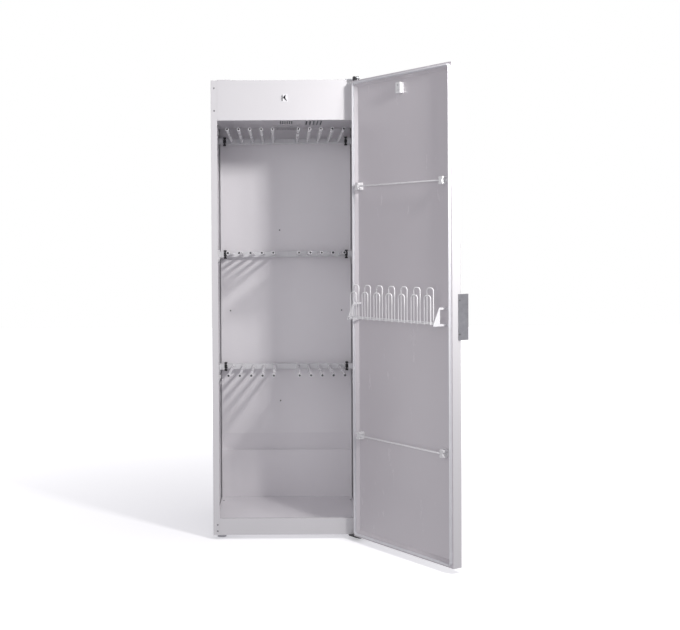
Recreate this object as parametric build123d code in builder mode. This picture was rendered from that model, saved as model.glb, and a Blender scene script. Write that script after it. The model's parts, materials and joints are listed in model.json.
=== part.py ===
"""Warm-air drying cabinet for towels, gowns and gloves: a free-standing steel cabinet, one full-height door.

Millimetres. +Z is up, the door is on the -Y side, +X is to the right of a person facing the door.
The origin is on the floor under the middle of the carcass. The door is modelled standing open.
"""

import os
from math import cos, radians, sin

from build123d import *

os.makedirs("parts", exist_ok=True)

# Carcass
WIDTH = 595.0
DEPTH = 600.0
BASE_Z = 18.0
TOP_Z = 1835.0
SHEET = 1.2
FLANGE = 25.0
LIP = 14.0
HALF = WIDTH / 2
FRONT = -DEPTH / 2
BACK = DEPTH / 2
OPENING_HALF = HALF - FLANGE
COVER_Z = TOP_Z - SHEET

# Inside of the drying chamber
SILL_Z = 83.0
FLOOR_Z = 47.0
FASCIA_Z = 1675.5
CEILING_Z = 1700.0
WALL_Y = 285.0
WALL_HALF = 291.0
CHANNEL_Z = (259.0, 335.0)
CHANNEL_DEEP = 12.0

# Screws of the carcass
SCREW_R = 2.1
SCREW_HEAD_R = 3.9
SCREW_HEAD_H = 2.0
SCREW_LONG = 5.0
HOLE_R = 2.3
FASCIA_SCREW_X = 284.0
FASCIA_SCREW_Z = (1714.0, 1804.0)
SILL_SCREW_X = 280.0
SILL_SCREW_Z = (33.5, 59.0)
COVER_SCREWS = [(sx * 210.0, y) for sx in (-1, 1) for y in (-290.0, 293.0)]
WALL_SCREWS = [(-27.0, 1245.0), (249.0, 885.0), (-249.0, 885.0), (-27.0, 480.0)]
FLOOR_SCREWS = [(-280.0, 207.0), (280.0, 207.0)]

# Feet and base rails
FOOT_X = 266.0
FOOT_Y = 245.0
RAIL_WIDE = 40.0
RAIL_WALL = 2.0
STUD_R = 5.0
PAD_R = 18.0
PAD_TOP_R = 26.0
PAD_RIM = 4.0
PAD_HIGH = 12.0
STUD_LONG = 28.0

# Door, in its own frame: x from the pin towards the hinge edge, y from the pin towards the carcass
DOOR_OPEN = 123.0
DOOR_GAP = 11.0
DOOR_THICK = 42.0
DOOR_EDGE = 10.0
DOOR_WIDE = 593.0
DOOR_LOW = 20.0
DOOR_HIGH = 1825.0
PIN_X = HALF - 1.0 - DOOR_EDGE
PIN_Y = FRONT - DOOR_GAP - DOOR_THICK / 2
FREE_EDGE = DOOR_EDGE - DOOR_WIDE
DOOR_MID = (DOOR_EDGE + FREE_EDGE) / 2
DOOR_MID_Z = (DOOR_LOW + DOOR_HIGH) / 2
DOOR_TALL = DOOR_HIGH - DOOR_LOW
INNER = DOOR_THICK / 2
BAND = 17.0
BAND_Y = INNER - SHEET
POCKET = 10.0
PANEL_Y = INNER - POCKET
GASKET_INSET = 6.0
GASKET_WIDE = 9.0
GASKET_HIGH = 9.0

# Hinges
PIN_R = 5.0
BUSH_PLAY = 0.05
BUSH_R = 8.0
BUSH_LONG = 24.0
TOP_PLATE = 4.0
BOTTOM_PLATE = 5.0
PLATE_FRONT = PIN_Y - 13.0
HINGE_SCREWS = [(256.0, -262.0), (284.0, -262.0)]
FOOT_PLATE_SCREWS = [(256.0, -286.0), (284.0, -286.0)]
HINGE_SCREW_R = 3.0

# Hanging racks
RACK_Z = (1640.0, 1137.0, 637.0)
RACK_NAMES = ("top", "middle", "lower")
RACK_Y = 260.0
RACK_SLOPE = 1.1
BAR_HALF = 262.0
BAR_DEEP = 12.0
BAR_HIGH = 25.0
BAR_WALL = 1.5
ROD_R = 6.5
ROD_BORE = 4.5
ROD_FRONT_Y = -210.7
ROD_PITCH = 46.2
ROD_GAP = 105.1
RACK_PIN_R = 5.0
BUSH_X = (264.0, 276.0)
BUSH_DEEP = 22.0
BUSH_HIGH = 38.0
BRACKET_PLATE = 2.0
BRACKET_SCREW_Y = (180.0, 225.0)

# Catch
CATCH_X = -3.5
CATCH_Z = 1764.0
CATCH_WIDE = 27.5
CATCH_HIGH = 42.0
MOUTH = (28.0, 32.0)
MOUTH_DEEP = 14.0
MOUTH_CORNERS = ((-6.5, 1.0), (4.9, 14.0), (3.7, 0.0), (10.5, -14.0))

# Things on the inside of the door
TOWEL_Z = (426.0, 1406.0)
TOWEL_ROD_R = 3.0
TOWEL_OUT = 14.0
HOLDER_INSET = 34.0
HOLDER_WIDE = 24.0
HOLDER_HIGH = 31.0
HOLDER_NOTCH = (5.0, 12.0)
GLOVE_LOOPS = 7
GLOVE_PITCH = 74.0
GLOVE_WIRE_R = 2.2
GLOVE_HALF = 17.5
GLOVE_BACK = (39.0, 893.0, 1020.0)
GLOVE_FRONT = (52.0, 889.0, 993.0)
GLOVE_ARM_INSET = 40.0
GLOVE_PLATE = 3.0

# Edge pull
PULL_Z = (834.0, 999.0)
PULL_OUT = 33.0
PULL_LAP = 15.0
PULL_THICK = 2.5
PULL_SCREW_Z = (855.0, 977.0)

# Controls on the front of the door
PANEL_Z = 1690.0
PANEL_WIDE = 230.0
PANEL_HIGH = 74.0
PANEL_PROUD = 4.0
KNOB_OUT = 22.0
KNOB_R = 22.0
SHAFT_R = 3.0
BUTTON_R = 8.0
BUTTON_OUT = 6.0

# Air handling above the ceiling
SUPPLY_XY = (4.0, 37.0)
EXHAUST_XY = (122.0, 60.0)
FAN_XY = (-150.0, 0.0)
FAN_TOP = 1783.0
SCROLL_R = 92.0
SCROLL_OUT = 120.0
OUTLET = 70.0
SPIGOT_R = 50.0
SPIGOT_WALL = 1.5
SPIGOT_TOP = 1875.0

DOOR = Plane(
    origin=(PIN_X, PIN_Y, 0),
    x_dir=(cos(radians(DOOR_OPEN)), sin(radians(DOOR_OPEN)), 0),
    z_dir=(0, 0, 1),
)


def door_face(y):
    """A plane parallel to the door's faces, y from the pin: sketch x runs to the hinge, sketch y up."""
    return Plane(origin=DOOR.from_local_coords((0, y, 0)), x_dir=DOOR.x_dir, z_dir=-DOOR.y_dir)


def door_section(x):
    """An upright plane across the door, x from the pin: sketch x runs towards the carcass, sketch y up."""
    return Plane(origin=DOOR.from_local_coords((x, 0, 0)), x_dir=DOOR.y_dir, z_dir=DOOR.x_dir)


def front_plane(y):
    """An upright plane facing the person: sketch x to the right, sketch y up."""
    return Plane.XZ.offset(-y)


def save(piece, name):
    """Label a finished piece and write its STEP file."""
    piece.part.label = name
    export_step(piece.part, f"parts/{name}.step")


# ---------------------------------------------------------------- carcass

def side_panel(side):
    """One folded side: wall, front flange with a return lip, rear flange."""
    with BuildPart() as panel:
        with BuildSketch(Plane.XY.offset(BASE_Z)):
            with Locations((side * (HALF - FLANGE / 2), 0)):
                Rectangle(FLANGE, DEPTH)
            with Locations((side * (HALF - FLANGE / 2 - SHEET), 0)):
                Rectangle(FLANGE, DEPTH - 2 * SHEET, mode=Mode.SUBTRACT)
        extrude(amount=COVER_Z - BASE_Z)
        outer = panel.edges().filter_by(Axis.Z).group_by(Axis.X)[-1 if side > 0 else 0]
        fillet(outer, radius=1.0)
        with BuildSketch(Plane.XY.offset(SILL_Z)):
            with Locations((side * (OPENING_HALF + SHEET / 2), FRONT + LIP / 2)):
                Rectangle(SHEET, LIP)
        extrude(amount=FASCIA_Z - SILL_Z)
        with BuildSketch(front_plane(FRONT)):
            with Locations(*[(side * FASCIA_SCREW_X, z) for z in FASCIA_SCREW_Z]):
                Circle(HOLE_R)
            with Locations(*[(side * SILL_SCREW_X, z) for z in SILL_SCREW_Z]):
                Circle(HOLE_R)
        extrude(amount=-2 * SHEET, mode=Mode.SUBTRACT)
        with BuildSketch(Plane.YZ.offset(side * HALF)):
            with Locations(*[(y, z - 28.0) for y in BRACKET_SCREW_Y for z in RACK_Z]):
                Circle(HOLE_R)
        extrude(amount=-side * 2 * SHEET, mode=Mode.SUBTRACT)
    return panel


save(side_panel(-1), "side_panel_left")
save(side_panel(1), "side_panel_right")

# Back: a tray of sheet with a channel across it whose face leans back downwards. Air slots and the cable entry
# are at the top.
TRAY_DEEP = BACK - SHEET - WALL_Y
GLAND_X = 225.0
GLAND_Z = 1766.0
GLAND_R = 10.0
with BuildPart() as back_panel:
    with BuildSketch(Plane.XY.offset(BASE_Z + SHEET)):
        with Locations((0, WALL_Y + TRAY_DEEP / 2)):
            Rectangle(2 * WALL_HALF, TRAY_DEEP)
            Rectangle(2 * WALL_HALF - 2 * SHEET, TRAY_DEEP, mode=Mode.SUBTRACT)
        with Locations((0, WALL_Y + SHEET / 2)):
            Rectangle(2 * WALL_HALF, SHEET)
    extrude(amount=COVER_Z - BASE_Z - 2 * SHEET)
    low, high = CHANNEL_Z
    with BuildSketch(Plane.YZ.offset(-WALL_HALF + SHEET)):
        with BuildLine():
            Polyline(
                (WALL_Y, high + SHEET), (WALL_Y + SHEET, high + SHEET),
                (WALL_Y + CHANNEL_DEEP + SHEET, low - SHEET), (WALL_Y, low - SHEET), (WALL_Y, high + SHEET),
            )
        make_face()
    extrude(amount=2 * WALL_HALF - 2 * SHEET)
    with BuildSketch(Plane.YZ.offset(-WALL_HALF + 2 * SHEET)):
        with BuildLine():
            Polyline((WALL_Y, high), (WALL_Y + CHANNEL_DEEP, low), (WALL_Y, low), (WALL_Y, high))
        make_face()
    extrude(amount=2 * WALL_HALF - 4 * SHEET, mode=Mode.SUBTRACT)
    with BuildSketch(front_plane(WALL_Y)):
        with Locations((FAN_XY[0], GLAND_Z)):
            with GridLocations(16.0, 0, 9, 1):
                SlotOverall(70.0, 6.0, rotation=90)
        with Locations((GLAND_X, GLAND_Z)):
            Circle(GLAND_R)
        with Locations(*WALL_SCREWS):
            Circle(HOLE_R)
    extrude(amount=-2 * SHEET, mode=Mode.SUBTRACT)
save(back_panel, "back_panel")

# Floor: a pan with turned-down sides and a turned-down back.
FLOOR_BACK = WALL_Y - 0.5
FLOOR_FRONT = FRONT + 23.5
FLOOR_HALF = 293.0
FLOOR_LIP = 20.0
with BuildPart() as floor_panel:
    with BuildSketch(Plane.XY.offset(FLOOR_Z)):
        with Locations((0, (FLOOR_FRONT + FLOOR_BACK) / 2)):
            Rectangle(2 * FLOOR_HALF, FLOOR_BACK - FLOOR_FRONT)
    extrude(amount=-FLOOR_LIP)
    with BuildSketch(Plane.XY.offset(FLOOR_Z - SHEET)):
        with Locations((0, (FLOOR_FRONT + FLOOR_BACK) / 2)):
            Rectangle(2 * FLOOR_HALF - 2 * SHEET, FLOOR_BACK - FLOOR_FRONT - 2 * SHEET)
    extrude(amount=-FLOOR_LIP, mode=Mode.SUBTRACT)
    with BuildSketch(Plane.XY.offset(FLOOR_Z)):
        with Locations(*FLOOR_SCREWS):
            Circle(HOLE_R)
    extrude(amount=-2 * SHEET, mode=Mode.SUBTRACT)
save(floor_panel, "floor_panel")

# Sill: a folded front with a top return, an inner leg and two screw tabs behind the side flanges.
SILL_DEEP = 22.0
FACE_HALF = OPENING_HALF - 0.4
TAB_IN = 12.0
TAB_OUT = 20.0
with BuildPart() as front_sill:
    with BuildSketch(Plane.YZ.offset(-FACE_HALF)):
        with Locations((FRONT + SILL_DEEP / 2, (BASE_Z + SILL_Z) / 2)):
            Rectangle(SILL_DEEP, SILL_Z - BASE_Z)
            Rectangle(SILL_DEEP - 2 * SHEET, SILL_Z - BASE_Z - 2 * SHEET, mode=Mode.SUBTRACT)
        with Locations((FRONT + SILL_DEEP, BASE_Z + SHEET)):
            Rectangle(6 * SHEET, 12.0, align=(Align.CENTER, Align.MIN), mode=Mode.SUBTRACT)
    extrude(amount=2 * FACE_HALF)
    with BuildSketch(front_plane(FRONT + SHEET)):
        for side in (-1, 1):
            with Locations((side * (FACE_HALF + (TAB_OUT - TAB_IN) / 2), (SILL_Z + BASE_Z) / 2)):
                Rectangle(TAB_IN + TAB_OUT, SILL_Z - BASE_Z - 6.0)
            with Locations(*[(side * SILL_SCREW_X, z) for z in SILL_SCREW_Z]):
                Circle(HOLE_R, mode=Mode.SUBTRACT)
    extrude(amount=-SHEET)
    rim = front_sill.edges().filter_by(Axis.X).group_by(Axis.Z)[-1].sort_by(Axis.Y)[0]
    fillet(rim, radius=1.0)
save(front_sill, "front_sill")

# Fascia over the opening: folded top and bottom, screw tabs, and the cut-out for the catch.
RETURN = 18.0
with BuildPart() as fascia_panel:
    with BuildSketch(Plane.YZ.offset(-FACE_HALF)):
        with Locations((FRONT + RETURN / 2, (FASCIA_Z + COVER_Z) / 2)):
            Rectangle(RETURN, COVER_Z - FASCIA_Z)
        with Locations((FRONT + RETURN / 2 + SHEET, (FASCIA_Z + COVER_Z) / 2)):
            Rectangle(RETURN, COVER_Z - FASCIA_Z - 2 * SHEET, mode=Mode.SUBTRACT)
    extrude(amount=2 * FACE_HALF)
    with BuildSketch(front_plane(FRONT + SHEET)):
        for side in (-1, 1):
            with Locations((side * (FACE_HALF + (TAB_OUT - TAB_IN) / 2), (FASCIA_Z + COVER_Z) / 2)):
                Rectangle(TAB_IN + TAB_OUT, COVER_Z - FASCIA_Z - 8.0)
            with Locations(*[(side * FASCIA_SCREW_X, z) for z in FASCIA_SCREW_Z]):
                Circle(HOLE_R, mode=Mode.SUBTRACT)
    extrude(amount=-SHEET)
    with BuildSketch(front_plane(FRONT)):
        with Locations((CATCH_X, CATCH_Z)):
            Rectangle(MOUTH[0] - 2.0, MOUTH[1] - 2.0)
    extrude(amount=-SHEET, mode=Mode.SUBTRACT)
    with BuildSketch(Plane.XY.offset(COVER_Z)):
        with Locations(*COVER_SCREWS[::2]):
            Circle(HOLE_R)
    extrude(amount=-SHEET, mode=Mode.SUBTRACT)
    rim = fascia_panel.edges().filter_by(Axis.X).group_by(Axis.Z)[0].sort_by(Axis.Y)[0]
    fillet(rim, radius=1.0)
save(fascia_panel, "fascia_panel")

# Ceiling of the chamber, with the warm-air slots and the exhaust slots.
CEILING_HALF = 293.0
with BuildPart() as ceiling_panel:
    with BuildSketch(Plane.XY.offset(CEILING_Z)):
        with Locations((0, (FRONT + WALL_Y) / 2)):
            Rectangle(2 * CEILING_HALF, WALL_Y - FRONT - 5.0)
        with Locations(SUPPLY_XY):
            with GridLocations(9.6, 0, 6, 1):
                SlotOverall(135.0, 5.0, rotation=90, mode=Mode.SUBTRACT)
        with Locations(EXHAUST_XY):
            with GridLocations(15.5, 0, 5, 1):
                SlotOverall(168.0, 6.0, rotation=90, mode=Mode.SUBTRACT)
    extrude(amount=SHEET)
save(ceiling_panel, "ceiling_panel")

# Shallow cover under the ceiling, over the temperature sensor.
SENSOR_BOX = (110.0, 148.0, 8.0)
with BuildPart() as sensor_cover:
    with BuildSketch(Plane.XY.offset(CEILING_Z)):
        with Locations((2.0, WALL_Y - 1.0 - SENSOR_BOX[1] / 2)):
            Rectangle(SENSOR_BOX[0], SENSOR_BOX[1])
    extrude(amount=-SENSOR_BOX[2])
    with BuildSketch(Plane.XY.offset(CEILING_Z)):
        with Locations((2.0, WALL_Y - 1.0 - SENSOR_BOX[1] / 2)):
            Rectangle(SENSOR_BOX[0] - 3.0, SENSOR_BOX[1] - 3.0)
    extrude(amount=-SENSOR_BOX[2] + 1.5, mode=Mode.SUBTRACT)
    with BuildSketch(Plane.XY.offset(CEILING_Z - SENSOR_BOX[2])):
        with Locations((2.0, WALL_Y - 1.0 - SENSOR_BOX[1] / 2)):
            with GridLocations(12.0, 0, 7, 1):
                SlotOverall(90.0, 4.0, rotation=90)
    extrude(amount=1.5, mode=Mode.SUBTRACT)
save(sensor_cover, "sensor_cover")

# Top cover: a lid with turned-down edges inside the walls and a hole for the exhaust spigot.
COVER_EDGE = 15.0
with BuildPart() as top_cover:
    with BuildSketch(Plane.XY.offset(COVER_Z)):
        Rectangle(WIDTH, DEPTH)
    extrude(amount=SHEET)
    with BuildSketch(Plane.XY.offset(COVER_Z)):
        Rectangle(2 * CEILING_HALF, DEPTH - 60.0)
        Rectangle(2 * CEILING_HALF - 2 * SHEET, DEPTH - 60.0, mode=Mode.SUBTRACT)
    extrude(amount=-COVER_EDGE)
    with BuildSketch(Plane.XY.offset(COVER_Z)):
        with Locations(EXHAUST_XY):
            Circle(SPIGOT_R + 1.0)
        with Locations(*COVER_SCREWS):
            Circle(HOLE_R)
        with Locations(*HINGE_SCREWS):
            Circle(HINGE_SCREW_R + 0.2)
    extrude(amount=SHEET, mode=Mode.SUBTRACT)
save(top_cover, "top_cover")

# Base rails that carry the floor and the feet.
with BuildPart() as base_rails:
    rail_z = (BASE_Z + SHEET, FLOOR_Z - SHEET)
    with BuildSketch(Plane.XZ.offset(FOOT_Y + 30.0)):
        for side in (-1, 1):
            with Locations((side * FOOT_X, sum(rail_z) / 2)):
                Rectangle(RAIL_WIDE, rail_z[1] - rail_z[0])
            with Locations((side * FOOT_X, sum(rail_z) / 2 + RAIL_WALL)):
                Rectangle(RAIL_WIDE - 2 * RAIL_WALL, rail_z[1] - rail_z[0], mode=Mode.SUBTRACT)
    extrude(amount=-2 * FOOT_Y - 50.0)
    with BuildSketch(Plane.XY.offset(BASE_Z + SHEET)):
        with GridLocations(2 * FOOT_X, 2 * FOOT_Y, 2, 2):
            Circle(STUD_R + 0.3)
    extrude(amount=RAIL_WALL, mode=Mode.SUBTRACT)
save(base_rails, "base_rails")

# Levelling feet: a pad that widens upwards, with a threaded stud and two locknuts each.
with BuildPart() as levelling_feet:
    with BuildSketch(Plane.XY):
        with GridLocations(2 * FOOT_X, 2 * FOOT_Y, 2, 2):
            Circle(PAD_R)
    extrude(amount=PAD_RIM)
    with Locations(Plane.XY.offset(PAD_RIM)):
        with GridLocations(2 * FOOT_X, 2 * FOOT_Y, 2, 2):
            Cone(PAD_R, PAD_TOP_R, PAD_HIGH - PAD_RIM, align=(Align.CENTER, Align.CENTER, Align.MIN))
    with BuildSketch(Plane.XY.offset(PAD_HIGH)):
        with GridLocations(2 * FOOT_X, 2 * FOOT_Y, 2, 2):
            Circle(STUD_R)
    extrude(amount=STUD_LONG)
save(levelling_feet, "levelling_feet")

NUT_HIGH = 6.0
with BuildPart() as foot_locknuts:
    for nut_z in (BASE_Z + SHEET - NUT_HIGH, BASE_Z + SHEET + RAIL_WALL):
        with BuildSketch(Plane.XY.offset(nut_z)):
            with GridLocations(2 * FOOT_X, 2 * FOOT_Y, 2, 2):
                RegularPolygon(radius=9.2, side_count=6)
                Circle(STUD_R, mode=Mode.SUBTRACT)
        extrude(amount=NUT_HIGH)
save(foot_locknuts, "foot_locknuts")


# ---------------------------------------------------------------- racks

def rack_plane(z):
    """The plane across the rods of a rack: sketch x to the right, the normal along the rods."""
    tilt = radians(RACK_SLOPE)
    return Plane(origin=(0, RACK_Y, z), x_dir=(1, 0, 0), z_dir=(0, -cos(tilt), sin(tilt)))


def rod_places():
    """Rod centres across the rack: two groups of five with a gap in the middle."""
    half = [ROD_GAP / 2 + i * ROD_PITCH for i in range(5)]
    return [(-x, 0) for x in reversed(half)] + [(x, 0) for x in half]


def rack_bar(z):
    """The hollow cross bar, its end caps with pivot pins, and the stop bolt near each end."""
    across = rack_plane(z)
    with BuildPart() as bar:
        with BuildSketch(across.offset(-BAR_DEEP / 2)):
            Rectangle(2 * BAR_HALF, BAR_HIGH)
        extrude(amount=BAR_DEEP)
        fillet(bar.edges().filter_by(Axis.X), radius=2.0)
        with BuildSketch(across.offset(-BAR_DEEP / 2 + BAR_WALL)):
            Rectangle(2 * BAR_HALF - 8.0, BAR_HIGH - 2 * BAR_WALL)
        extrude(amount=BAR_DEEP - 2 * BAR_WALL, mode=Mode.SUBTRACT)
        for side in (-1, 1):
            with BuildSketch(Plane(origin=(side * BAR_HALF, RACK_Y, z), z_dir=(side, 0, 0))):
                Circle(RACK_PIN_R)
            extrude(amount=15.0)
        with BuildSketch(across.offset(BAR_DEEP / 2)):
            with Locations((-BAR_HALF + 6.5, -7.0), (BAR_HALF - 6.5, -7.0)):
                RegularPolygon(radius=4.5, side_count=6)
        extrude(amount=3.5)
    return bar


def rack_rods(z):
    """Ten open tubes that stand out of the bar."""
    across = rack_plane(z)
    length = (RACK_Y - ROD_FRONT_Y) / cos(radians(RACK_SLOPE)) - BAR_DEEP / 2
    with BuildPart() as rods:
        with BuildSketch(across.offset(BAR_DEEP / 2)):
            with Locations(*rod_places()):
                Circle(ROD_R)
        extrude(amount=length)
        with BuildSketch(across.offset(BAR_DEEP / 2 + 4.0)):
            with Locations(*rod_places()):
                Circle(ROD_BORE)
        extrude(amount=length, mode=Mode.SUBTRACT)
    return rods


for rack_name, rack_z in zip(RACK_NAMES, RACK_Z):
    save(rack_bar(rack_z), f"{rack_name}_rack_bar")
    save(rack_rods(rack_z), f"{rack_name}_rack_rods")

# Pivot bushes of black nylon, with an I-shaped face.
with BuildPart() as rack_pivot_bushes:
    for side in (-1, 1):
        mid_x = side * sum(BUSH_X) / 2
        with BuildSketch(front_plane(RACK_Y + BUSH_DEEP / 2)):
            with Locations(*[(mid_x, z) for z in RACK_Z]):
                Rectangle(BUSH_X[1] - BUSH_X[0], BUSH_HIGH)
            for notch in (-1, 1):
                with Locations(*[(mid_x + notch * 6.5, z) for z in RACK_Z]):
                    RectangleRounded(7.0, BUSH_HIGH - 12.0, 2.0, mode=Mode.SUBTRACT)
        extrude(amount=BUSH_DEEP)
        with BuildSketch(Plane.YZ.offset(mid_x)):
            with Locations(*[(RACK_Y, z) for z in RACK_Z]):
                Circle(RACK_PIN_R + 2.5)
        extrude(amount=6.0, both=True)
        with BuildSketch(Plane.YZ.offset(mid_x)):
            with Locations(*[(RACK_Y, z) for z in RACK_Z]):
                Circle(RACK_PIN_R + BUSH_PLAY)
        extrude(amount=8.0, both=True, mode=Mode.SUBTRACT)
save(rack_pivot_bushes, "rack_pivot_bushes")

# Wall brackets: a plate on the side wall and a box arm that holds the bush.
ARM_X = BUSH_X[1] + 0.2
WALL_X = HALF - SHEET
with BuildPart() as rack_wall_brackets:
    for side in (-1, 1):
        with BuildSketch(Plane.YZ.offset(side * WALL_X)):
            with Locations(*[(RACK_Y - 42.0, z - 15.0) for z in RACK_Z]):
                RectangleRounded(116.0, 58.0, 5.0)
            with Locations(*[(y, z - 28.0) for y in BRACKET_SCREW_Y for z in RACK_Z]):
                Circle(HOLE_R, mode=Mode.SUBTRACT)
        extrude(amount=-side * BRACKET_PLATE)
        with BuildSketch(Plane.YZ.offset(side * (WALL_X - BRACKET_PLATE))):
            with Locations(*[(RACK_Y, z) for z in RACK_Z]):
                Rectangle(26.0, 26.0)
        extrude(amount=-side * (WALL_X - BRACKET_PLATE - ARM_X))
        with BuildSketch(Plane.XZ.offset(-RACK_Y)):
            with Locations(*[(side * (ARM_X + 2.0), z) for z in RACK_Z]):
                Rectangle(30.0, 22.0, align=(Align.MIN if side > 0 else Align.MAX, Align.CENTER))
        extrude(amount=11.0, both=True, mode=Mode.SUBTRACT)
        with BuildSketch(Plane.YZ.offset(side * WALL_X)):
            with Locations(*[(RACK_Y - 42.0, z - 15.0) for z in RACK_Z]):
                RectangleRounded(116.0, 58.0, 5.0)
            with Locations(*[(y, z - 28.0) for y in BRACKET_SCREW_Y for z in RACK_Z]):
                Circle(HOLE_R, mode=Mode.SUBTRACT)
        extrude(amount=-side * BRACKET_PLATE)
        with BuildSketch(Plane.YZ.offset(side * (ARM_X + 1.0))):
            with Locations(*[(RACK_Y, z) for z in RACK_Z]):
                Circle(RACK_PIN_R + 0.6)
        extrude(amount=3.0, both=True, mode=Mode.SUBTRACT)
save(rack_wall_brackets, "rack_wall_brackets")


# Plastic pads on the side walls in front of the brackets, each with a slot across the middle.
CLIP_Y = 148.0
CLIP_WIDE = 16.0
CLIPS = ((1678.0, 40.0), (1129.0, 57.0), (591.0, 40.0))
CLIP_OUT = 9.0
with BuildPart() as wall_clips:
    for side in (-1, 1):
        with BuildSketch(Plane.YZ.offset(side * WALL_X)):
            for clip_z, clip_high in CLIPS:
                with Locations((CLIP_Y, clip_z)):
                    RectangleRounded(CLIP_WIDE, clip_high, 4.0)
        extrude(amount=-side * CLIP_OUT)
        with BuildSketch(Plane.YZ.offset(side * (WALL_X - CLIP_OUT))):
            with Locations(*[(CLIP_Y, clip_z) for clip_z, clip_high in CLIPS]):
                Rectangle(CLIP_WIDE, 12.0)
        extrude(amount=side * 4.0, mode=Mode.SUBTRACT)
save(wall_clips, "wall_clips")


# ---------------------------------------------------------------- fasteners of the carcass

def pan_screws(planes_and_places, radius=SCREW_R, head=SCREW_HEAD_R, shank=SCREW_LONG):
    """Pan-head screws: each plane faces out of the sheet, its places are the screw centres."""
    with BuildPart() as screws:
        for plane, places in planes_and_places:
            with BuildSketch(plane):
                with Locations(*places):
                    Circle(head)
            extrude(amount=SCREW_HEAD_H)
            with BuildSketch(plane):
                with Locations(*places):
                    Circle(radius)
            extrude(amount=-shank)
        top_edges = screws.edges().filter_by(GeomType.CIRCLE).filter_by(lambda e: e.radius == head)
        chamfer([e for e in top_edges if not touches_sheet(e, planes_and_places)], length=0.7)
    return screws


def touches_sheet(edge, planes_and_places):
    """True for the rim of a head that lies on the sheet."""
    centre = edge.arc_center
    return any(abs(plane.to_local_coords(centre).Z) < 0.01 for plane, _ in planes_and_places)


FRONT_SCREWS = [(s * FASCIA_SCREW_X, z) for s in (-1, 1) for z in FASCIA_SCREW_Z]
FRONT_SCREWS += [(s * SILL_SCREW_X, z) for s in (-1, 1) for z in SILL_SCREW_Z]
save(
    pan_screws([
        (front_plane(FRONT), FRONT_SCREWS),
        (Plane.XY.offset(TOP_Z), COVER_SCREWS),
        (front_plane(WALL_Y), WALL_SCREWS),
        (Plane.XY.offset(FLOOR_Z), FLOOR_SCREWS),
    ]),
    "panel_screws",
)
BRACKET_PLACES = [(y, z - 28.0) for y in BRACKET_SCREW_Y for z in RACK_Z]
BRACKET_FACE = WALL_X - BRACKET_PLATE
LEFT_FACE = Plane(origin=(-BRACKET_FACE, 0, 0), x_dir=(0, 1, 0), z_dir=(1, 0, 0))
RIGHT_FACE = Plane(origin=(BRACKET_FACE, 0, 0), x_dir=(0, 1, 0), z_dir=(-1, 0, 0))
MIRRORED_PLACES = [(y, -z) for y, z in BRACKET_PLACES]
save(
    pan_screws([(LEFT_FACE, BRACKET_PLACES), (RIGHT_FACE, MIRRORED_PLACES)], shank=BRACKET_PLATE + SHEET),
    "rack_bracket_screws",
)

# ---------------------------------------------------------------- hinges on the carcass

with BuildPart() as hinge_plate_top:
    with BuildSketch(Plane.XY.offset(TOP_Z)):
        with BuildLine():
            Polyline(
                (240, -246), (HALF - 2, -246), (HALF - 2, PLATE_FRONT), (PIN_X - 7, PLATE_FRONT),
                (PIN_X - 7, FRONT - 2), (240, FRONT + 6), (240, -246),
            )
        make_face()
        with Locations((PIN_X, PIN_Y)):
            Circle(PIN_R, mode=Mode.SUBTRACT)
        with Locations(*HINGE_SCREWS):
            Circle(HINGE_SCREW_R + 0.2, mode=Mode.SUBTRACT)
    extrude(amount=TOP_PLATE)
    fillet(hinge_plate_top.edges().filter_by(Axis.Z).group_by(Axis.Y)[0], radius=3.0)
save(hinge_plate_top, "hinge_plate_top")

with BuildPart() as hinge_plate_bottom:
    with BuildSketch(Plane.XY.offset(BASE_Z)):
        with BuildLine():
            Polyline(
                (244, FRONT + 26), (HALF - 2, FRONT + 26), (HALF - 2, PLATE_FRONT), (PIN_X - 14, PLATE_FRONT),
                (244, FRONT - 1), (244, FRONT + 26),
            )
        make_face()
        with Locations((PIN_X, PIN_Y)):
            Circle(PIN_R, mode=Mode.SUBTRACT)
        with Locations(*FOOT_PLATE_SCREWS):
            Circle(HINGE_SCREW_R + 0.2, mode=Mode.SUBTRACT)
    extrude(amount=-BOTTOM_PLATE)
    fillet(hinge_plate_bottom.edges().filter_by(Axis.Z).group_by(Axis.Y)[0], radius=4.0)
save(hinge_plate_bottom, "hinge_plate_bottom")

# Hinge pins: the top one hangs into the door, the bottom one stands up into it on a thrust collar.
with BuildPart() as hinge_pins:
    with BuildSketch(Plane.XY.offset(TOP_Z + TOP_PLATE)):
        with Locations((PIN_X, PIN_Y)):
            Circle(PIN_R)
    extrude(amount=-(TOP_Z + TOP_PLATE - DOOR_HIGH + BUSH_LONG - 4.0))
    with BuildSketch(Plane.XY.offset(TOP_Z + TOP_PLATE)):
        with Locations((PIN_X, PIN_Y)):
            Circle(PIN_R - 0.5)
    extrude(amount=5.0)
    with BuildSketch(Plane.XY.offset(BASE_Z - BOTTOM_PLATE)):
        with Locations((PIN_X, PIN_Y)):
            Circle(PIN_R)
    extrude(amount=BOTTOM_PLATE + DOOR_LOW - BASE_Z + BUSH_LONG - 4.0)
    with BuildSketch(Plane.XY.offset(BASE_Z - BOTTOM_PLATE)):
        with Locations((PIN_X, PIN_Y)):
            RegularPolygon(radius=7.5, side_count=6)
    extrude(amount=-4.0)
    with BuildSketch(Plane.XY.offset(BASE_Z)):
        with Locations((PIN_X, PIN_Y)):
            Circle(PIN_R + 4.0)
    extrude(amount=DOOR_LOW - BASE_Z - 0.3)
save(hinge_pins, "hinge_pins")

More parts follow.
